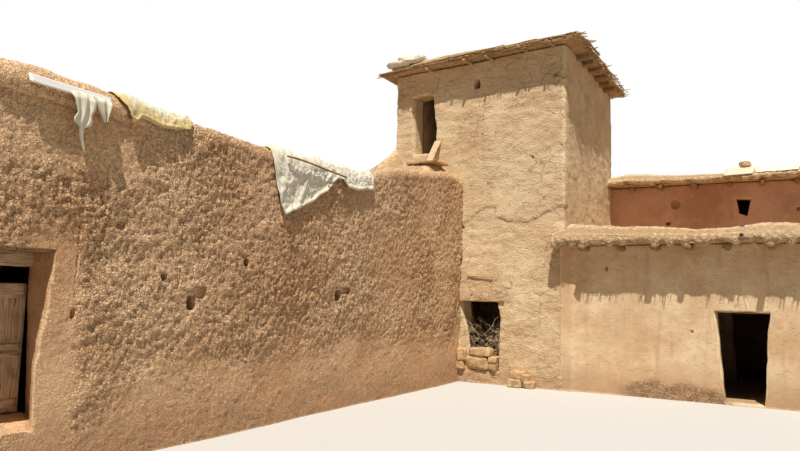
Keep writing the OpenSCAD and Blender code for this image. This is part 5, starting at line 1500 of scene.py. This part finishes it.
class HOUSE_OT_stones(bpy.types.Operator):
    """Makes the stones in and beside the tower's doorway, on the roof and in the step"""
    bl_idname = "house.stones"
    bl_label = "Stones"

    def execute(self, context):
        boxes = ((-0.02, 0.23, 0.46, 0.77), (0.21, 0.83, 0.58, 0.79), (0.2, 0.75, 0.3, 0.59),
                 (-0.15, 0.19, 0.275, 0.48), (0.74, 0.96, 0.46, 0.61), (0.73, 0.95, 0.28, 0.48))
        places = [(((x0 + x1) / 2, 0.05 + 0.02 * (k % 3), (z0 + z1) / 2),
                   ((x1 - x0) * 0.96, 0.32, (z1 - z0) * 0.99), k * 3 + 1)
                  for k, (x0, x1, z0, z1) in enumerate(boxes)]
        heap = ((1.3, 1.6, -0.01, 0.18), (1.62, 1.86, -0.01, 0.15), (1.34, 1.63, 0.16, 0.35), (1.56, 1.74, 0.12, 0.28))
        places += [(((x0 + x1) / 2, -0.14 + 0.02 * k, (z0 + z1) / 2), (x1 - x0, 0.27, z1 - z0), k * 5 + 2)
                   for k, (x0, x1, z0, z1) in enumerate(heap)]
        stones = boulders("doorway_stones", places, 0.38, 44, 28, 0.075)
        mark_hollows(stones)
        dress(stones, "rough_sandstone", "field_stone", "door_stones")
        cap = boulders("ridge_stone", [((5.84, 4.36, 5.445), (0.26, 0.2, 0.15), 40)], 0.6, 40, 24, 0.09)
        dress(cap, "rough_sandstone", "field_stone", "roof_stone")
        step = boards("doorway_step", [(-1.14, -0.33, -0.66, -0.06, 5.03, 5.1, 0, 671, 0.006)])
        spin_about(step, (-0.72, -0.36, 5.06), -6, "Z")
        mark_hollows(step)
        dress(step, "rough_sandstone", "field_stone", "roof_step")
        lean = boards("leaning_board", [(-0.72, -0.54, -0.5, -0.475, 5.08, 5.86, 2, 673, 0.003)])
        spin_about(lean, (-0.63, -0.49, 5.08), -38, "X")
        mark_hollows(lean)
        dress(lean, "door_wood_z", "old_wood")
        return {"FINISHED"}


# Cloth and boards on the wall tops


def over_crown(y, w, lift):
    """Points at arc length w across the court parapet's round crown, 0 at its top and
    positive towards the court, raised from the wall by lift: a half circle of 145 mm, with
    straight drops past its ends, following the wall's own relief."""
    r, quarter = 0.145, 0.145 * math.pi / 2
    angle = np.clip(w / r, -math.pi / 2, math.pi / 2)
    drop = np.clip(np.abs(w) - quarter, 0, 9)
    top = court_top(0 * y, y)
    base = np.stack([-0.14 + r * np.sin(angle), y, top - CROWN + r * np.cos(angle) - drop], -1)
    out = wing_relief(base) * (w > -0.1)
    up = np.stack([np.sin(angle), 0 * y, np.cos(angle)], -1)
    return base + up * (np.maximum(out, 0) + lift)[..., None]


def lay_sheet(name, points, finish, slot, node):
    """A cloth from a grid of points, given its thickness on both sides."""
    n, m = points.shape[:2]
    piece = new_mesh(name, points, grid_faces(n, m))
    field = piece.data.attributes.new("hem", "FLOAT", "POINT")
    field.data.foreach_set("value", np.tile(np.linspace(0, 1, m), n).astype(np.float32))
    change = piece.modifiers.new("thickness", "SOLIDIFY")
    change.thickness, change.offset = bpy.context.scene.house_sizes.cloth_t, 0
    dress(piece, finish, slot, *([node] if node else []))
    return piece


def drape(y0, y1, edge, back, folds, seed, lean=0.0, step=0.02):
    """A sheet over the crown from y0 to y1: edge(y) and back(y) are how far it reaches to
    the court side and the far side, folds its folds' height and lean their slope. Its
    lower hem is rolled: it stands out as a narrow bell curve along the edge."""
    n = int((y1 - y0) / step)
    y = np.linspace(y0, y1, n)[:, None]
    t = np.linspace(0, 1, 60)[None]
    w = -back(y) * (1 - t) + edge(y) * t
    y = y + 0 * w
    p = np.stack([y + lean * w, w, 0 * y], -1)
    free = 0.3 + 0.7 * ease((w - 0.15) / 0.3)
    ridge = 1 - np.abs(swell(p * np.array([1, 0.4, 1]), 0.27, seed)) * 2
    small = 1 - np.abs(swell(p * np.array([1, 0.6, 1]), 0.1, seed + 1)) * 2
    roll = 0.05 * np.exp(-((w - 0.02) / 0.13) ** 2)
    hem = 0.022 * np.exp(-((edge(y) - w - 0.03) / 0.025) ** 2) * (w > 0.2)
    end = ease((y - y0) / 0.12) * ease((y1 - y) / 0.12)
    lift = 0.012 + (roll + hem) * end + folds * free * (0.5 + 0.5 * ridge) + folds * 0.25 * (0.5 + 0.5 * small)
    sway = 0.02 * swell(p, 0.3, seed + 2) * ease((w - 0.15) / 0.3)
    return over_crown(y + sway, w, lift)


def through(points):
    """A function that follows straight lines through (place, value) points."""
    return lambda v: np.interp(v, [p[0] for p in points], [p[1] for p in points])


class HOUSE_OT_cloths(bpy.types.Operator):
    """Makes the sheets, the rag and the strip on the court parapet"""
    bl_idname = "house.cloths"
    bl_label = "Cloths on the parapet"

    def execute(self, context):
        edge = through([(-6.88, 0.2), (-6.8, 0.62), (-6.72, 0.9), (-6.6, 1.06), (-6.5, 1.0), (-6.2, 0.88),
                        (-5.87, 0.76), (-5.47, 0.52), (-5.2, 0.3), (-5.08, 0.3), (-4.93, 0.42), (-4.6, 0.42),
                        (-4.3, 0.38), (-4.02, 0.42)])
        lay_sheet("cream_tarpaulin", drape(-6.86, -4.02, edge, through([(-7, 0.3), (-4, 0.25)]), 0.05, 701, 0.55),
                  "cream_sacking", "cream_cloth", "cream_sheet")
        pole = straight_paths([(0.1, -6.6, 3.97)], [(0.13, -5.05, 3.9)], 20, 0.02, 705)
        dress(rod_mesh("sheet_pole", [(pole, np.full((1, 20), 0.016), 8)]), "peeled_log_y", "round_logs")
        edge = through([(-9.62, 0.1), (-9.5, 0.18), (-9.42, 0.3), (-9.37, 0.31), (-9.3, 0.23), (-8.95, 0.27),
                        (-8.5, 0.2), (-8.4, 0.1)])
        lay_sheet("yellow_cover", drape(-9.6, -8.39, edge, through([(-10, 0.2), (-8, 0.22)]), 0.05, 711, 0.3, 0.012),
                  "yellow_woven_plastic", "yellow_plastic", "yellow_sheet")
        strip = boards("white_edge_strip", [(0.092, 0.122, -10.68, -9.72, 3.93, 4.02, 1, 721, 0.001)])
        spin_about(strip, (0.107, -10.2, 3.975), -16, "Y")
        dress(strip, "white_laminate", "white_board", "white_strip")

        v = np.linspace(0, 1, 44)[:, None]
        u = np.linspace(-1, 1, 26)[None]
        half = np.interp(v, [0, 0.2, 0.35, 0.45, 0.52, 0.58, 0.7, 0.85, 1],
                         [0.15, 0.125, 0.09, 0.12, 0.11, 0.03, 0.024, 0.02, 0.01])
        pleat = np.cos(u * 8 + 2 * v) * 0.02 * np.clip(half / 0.15, 0.15, 1)
        y = -10.09 + u * half + 0.07 * v ** 2 + 0.02 * np.sin(v * 7)
        z = 3.95 - 0.6 * v + 0.03 * (1 - u ** 2) * (1 - v)
        x = np.interp(v, [0, 0.1, 0.5, 1], [0.125, 0.165, 0.14, 0.095]) + pleat * ease(v / 0.1)
        points = np.stack([x, y, z], -1)
        lay_sheet("hanging_rag_cloth", points, "cream_sacking", "cream_cloth", "hanging_rag")
        v = np.linspace(0, 1, 20)[:, None]
        y = -9.87 + u * (0.1 * (1 - v) + 0.015) + 0.07 * v
        z = 3.98 - 0.26 * v + 0 * u
        x = np.interp(v, [0, 0.2, 1], [0.125, 0.165, 0.135]) + 0.02 * np.cos(u * 5 + v * 3) * ease(v / 0.2)
        lay_sheet("hanging_scrap", np.stack([x, y, z], -1), "cream_sacking", "cream_cloth", None)
        return {"FINISHED"}


class HOUSE_OT_roof_things(bpy.types.Operator):
    """Makes the sacks on the tower, and the board and cloth on the rear roof"""
    bl_idname = "house.roof_things"
    bl_label = "Things on the roofs"

    def execute(self, context):
        points, quads, tris, start = [], [], [], 0
        places = []
        for centre, size, seed in (((-1.62, -0.2, 7.66), (0.6, 0.42, 0.14), 81),
                                   ((-1.25, -0.16, 7.75), (0.62, 0.46, 0.19), 82),
                                   ((-1.4, 0.05, 7.78), (0.7, 0.4, 0.18), 83)):
            places.append((centre, size, seed))
        for centre, size, seed in places:
            p = boulder_points(centre, size, seed, 0.6, 64, 36, 0.03)
            fold = 1 - np.abs(swell(p, 0.19, seed)) * 2
            crease = 1 - np.abs(swell(p, 0.07, seed + 1)) * 2
            p += (p - np.array(centre)) * (0.2 * fold + 0.07 * crease)[..., None]
            n, m = p.shape[:2]
            p[:, 0], p[:, -1] = p[:, 0].mean(0), p[:, -1].mean(0)
            points += [p[:, 1:-1].reshape(-1, 3), p[:1, 0], p[:1, -1]]
            quads.append(grid_faces(n, m - 2, wrap_n=True) + start)
            i = np.arange(n)
            i1 = (i + 1) % n
            a, b = start + n * (m - 2), start + n * (m - 2) + 1
            tris.append(np.stack([np.full(n, a), i1 * (m - 2) + start, i * (m - 2) + start], -1))
            tris.append(np.stack([np.full(n, b), i * (m - 2) + m - 3 + start, i1 * (m - 2) + m - 3 + start], -1))
            start += n * (m - 2) + 2
        sacks = new_mesh("empty_sacks", np.concatenate(points), np.concatenate(quads), np.concatenate(tris))
        dress(sacks, "cream_sacking", "cream_cloth", "roof_sacks")

        def lid_low(a, b):
            return np.interp(b, [4.03, 4.3, 4.7], [5.12, 5.33, 5.37]) + 0.03 * (a - 5.4)

        lid = slab("loose_board", np.linspace(5.36, 6.02, 20), np.linspace(4.03, 4.5, 16), lid_low,
                   lambda a, b: lid_low(a, b) + 0.025, 0.0, lambda p: 0.002 * swell(p, 0.2, 681), 2)
        lean = Matrix(((1, 0.3, 0, 0), (0, 1, 0, 0), (0, 0, 1, 0), (0, 0, 0, 1)))
        shift = Matrix.Translation(tuple(np.array([5.4, 4.03, 5.12]) + CORNER))
        lid.data.transform(shift @ lean @ shift.inverted())
        dress(lid, "dusty_laminate", "white_board", "roof_board")

        x = np.linspace(6.06, 7.0, 70)[:, None]
        y = np.linspace(4.08, 4.85, 54)[None]
        p = np.stack([x + 0 * y, y + 0 * x, 0 * x + 0 * y], -1)
        fold = 1 - np.abs(swell(p * np.array([0.6, 1, 1]), 0.25, 731)) * 2
        small = 1 - np.abs(swell(p, 0.1, 732)) * 2
        z = np.interp(p[..., 1], [4.08, 4.16, 4.32, 4.85], [5.17, 5.25, 5.3, 5.28])
        z = z + 0.06 * (0.5 + 0.5 * fold) * ease((p[..., 1] - 4.08) / 0.15) + 0.015 * (0.5 + 0.5 * small)
        p = np.stack([p[..., 0] + 0.05 * swell(p, 0.4, 733), p[..., 1] + 0.05 * swell(p, 0.4, 734), z], -1)
        lay_sheet("rear_roof_cloth", p, "cream_sacking", "cream_cloth", "roof_cloth")
        return {"FINISHED"}


# Stage


class HOUSE_OT_stage(bpy.types.Operator):
    """Makes the pale floor, the soft lights and the camera"""
    bl_idname = "house.stage"
    bl_label = "Floor, lights and camera"

    def execute(self, context):
        scene = context.scene
        finish, tree, shader, place = start_finish("studio_floor")
        shader.inputs["Roughness"].default_value = 0.9
        path = add_node(tree, "ShaderNodeLightPath")
        tree.links.new(blend_colour(tree, path.outputs["Is Camera Ray"], linear("#A8A299"), linear("#C6C3BD")),
                       shader.inputs["Base Color"])
        away = add_node(tree, "ShaderNodeVectorMath", {"operation": "LENGTH"}, {0: place}).outputs["Value"]
        share = maths(tree, "MULTIPLY", ramp(tree, away, 22.0, 55.0), path.outputs["Is Camera Ray"])
        white = add_node(tree, "ShaderNodeEmission", Color=(1, 1, 1, 1), Strength=1.0)
        fade = add_node(tree, "ShaderNodeMixShader", None,
                        {0: share, 1: shader.outputs[0], 2: white.outputs[0]})
        tree.links.new(fade.outputs[0], tree.nodes["Material Output"].inputs["Surface"])
        size = 60.0
        mesh = bpy.data.meshes.new("studio_floor")
        mesh.from_pydata([(-size, -size, -0.001), (size, -size, -0.001), (size, size, -0.001),
                          (-size, size, -0.001)], [], [(0, 1, 2, 3)])
        floor = bpy.data.objects.new("studio_floor", mesh)
        floor.data.materials.append(finish)
        scene.collection.objects.link(floor)

        world = bpy.data.worlds.new("studio")
        scene.world = world
        world.use_nodes = True
        tree = world.node_tree
        tree.nodes.clear()
        path = add_node(tree, "ShaderNodeLightPath")
        seen = maths(tree, "MAXIMUM", path.outputs["Is Camera Ray"],
                     maths(tree, "MAXIMUM", path.outputs["Is Glossy Ray"],
                           path.outputs["Is Transmission Ray"]))
        soft = add_node(tree, "ShaderNodeBackground", Color=(0.93, 0.96, 1.0, 1), Strength=0.18)
        plain = add_node(tree, "ShaderNodeBackground", Color=(1, 1, 1, 1), Strength=1.0)
        mix = add_node(tree, "ShaderNodeMixShader", None,
                       {0: seen, 1: soft.outputs[0], 2: plain.outputs[0]})
        add_node(tree, "ShaderNodeOutputWorld", links={"Surface": mix.outputs[0]})

        lamp = bpy.data.lights.new("key", "SUN")
        lamp.energy, lamp.angle, lamp.color = 4.7, math.radians(0.8), (1.0, 0.97, 0.92)
        key = bpy.data.objects.new("key", lamp)
        key.rotation_mode = "QUATERNION"
        key.rotation_quaternion = Vector((0.19, -0.45, 1.0)).to_track_quat("Z", "Y")
        scene.collection.objects.link(key)

        yaw, pitch, roll = (math.radians(v) for v in (29.45, 6.0, 1.5))
        ahead = np.array([-math.sin(yaw) * math.cos(pitch), math.cos(yaw) * math.cos(pitch), math.sin(pitch)])
        right = np.array([math.cos(yaw), math.sin(yaw), 0])
        up = np.cross(right, ahead)
        right, up = (right * math.cos(roll) + up * math.sin(roll),
                     up * math.cos(roll) - right * math.sin(roll))
        lens = bpy.data.cameras.new("camera")
        lens.sensor_width, lens.lens = 36.0, 30.6
        lens.clip_start, lens.clip_end = 0.1, 200
        camera = bpy.data.objects.new("camera", lens)
        camera.matrix_world = Matrix.Translation(tuple(np.array([6.6, -14.59, 1.89]) + CORNER)) @ Matrix(
            [list(row) for row in np.stack([right, up, -ahead], -1)]).to_4x4()
        scene.collection.objects.link(camera)
        scene.camera = camera
        scene.view_settings.view_transform = "Standard"
        return {"FINISHED"}


STEPS = (HOUSE_OT_stage, HOUSE_OT_finishes, HOUSE_OT_court_wall, HOUSE_OT_far_walls, HOUSE_OT_tower_walls,
         HOUSE_OT_front_walls, HOUSE_OT_rear_walls, HOUSE_OT_roof_earth, HOUSE_OT_logs, HOUSE_OT_canes,
         HOUSE_OT_twigs, HOUSE_OT_door, HOUSE_OT_stones, HOUSE_OT_cloths, HOUSE_OT_roof_things)


class HOUSE_PT_panel(bpy.types.Panel):
    """Lists the pieces and their sizes and colours"""
    bl_label = "Adobe house"
    bl_idname = "HOUSE_PT_panel"
    bl_space_type = "VIEW_3D"
    bl_region_type = "UI"
    bl_category = "Adobe house"

    def draw(self, context):
        for step in STEPS:
            self.layout.operator(step.bl_idname)
        for group in (context.scene.house_sizes, context.scene.house_colours):
            for name in group.bl_rna.properties.keys():
                if name not in ("rna_type", "name"):
                    self.layout.prop(group, name)


CLASSES = (HouseSizes, HouseColours, *STEPS, HOUSE_PT_panel)


def register():
    for made in CLASSES:
        bpy.utils.register_class(made)
    bpy.types.Scene.house_sizes = bpy.props.PointerProperty(type=HouseSizes)
    bpy.types.Scene.house_colours = bpy.props.PointerProperty(type=HouseColours)


def unregister():
    del bpy.types.Scene.house_sizes
    del bpy.types.Scene.house_colours
    for made in reversed(CLASSES):
        bpy.utils.unregister_class(made)


def main():
    register()
    for step in STEPS:
        group, name = step.bl_idname.split(".")
        getattr(getattr(bpy.ops, group), name)()


if __name__ == "__main__":
    main()
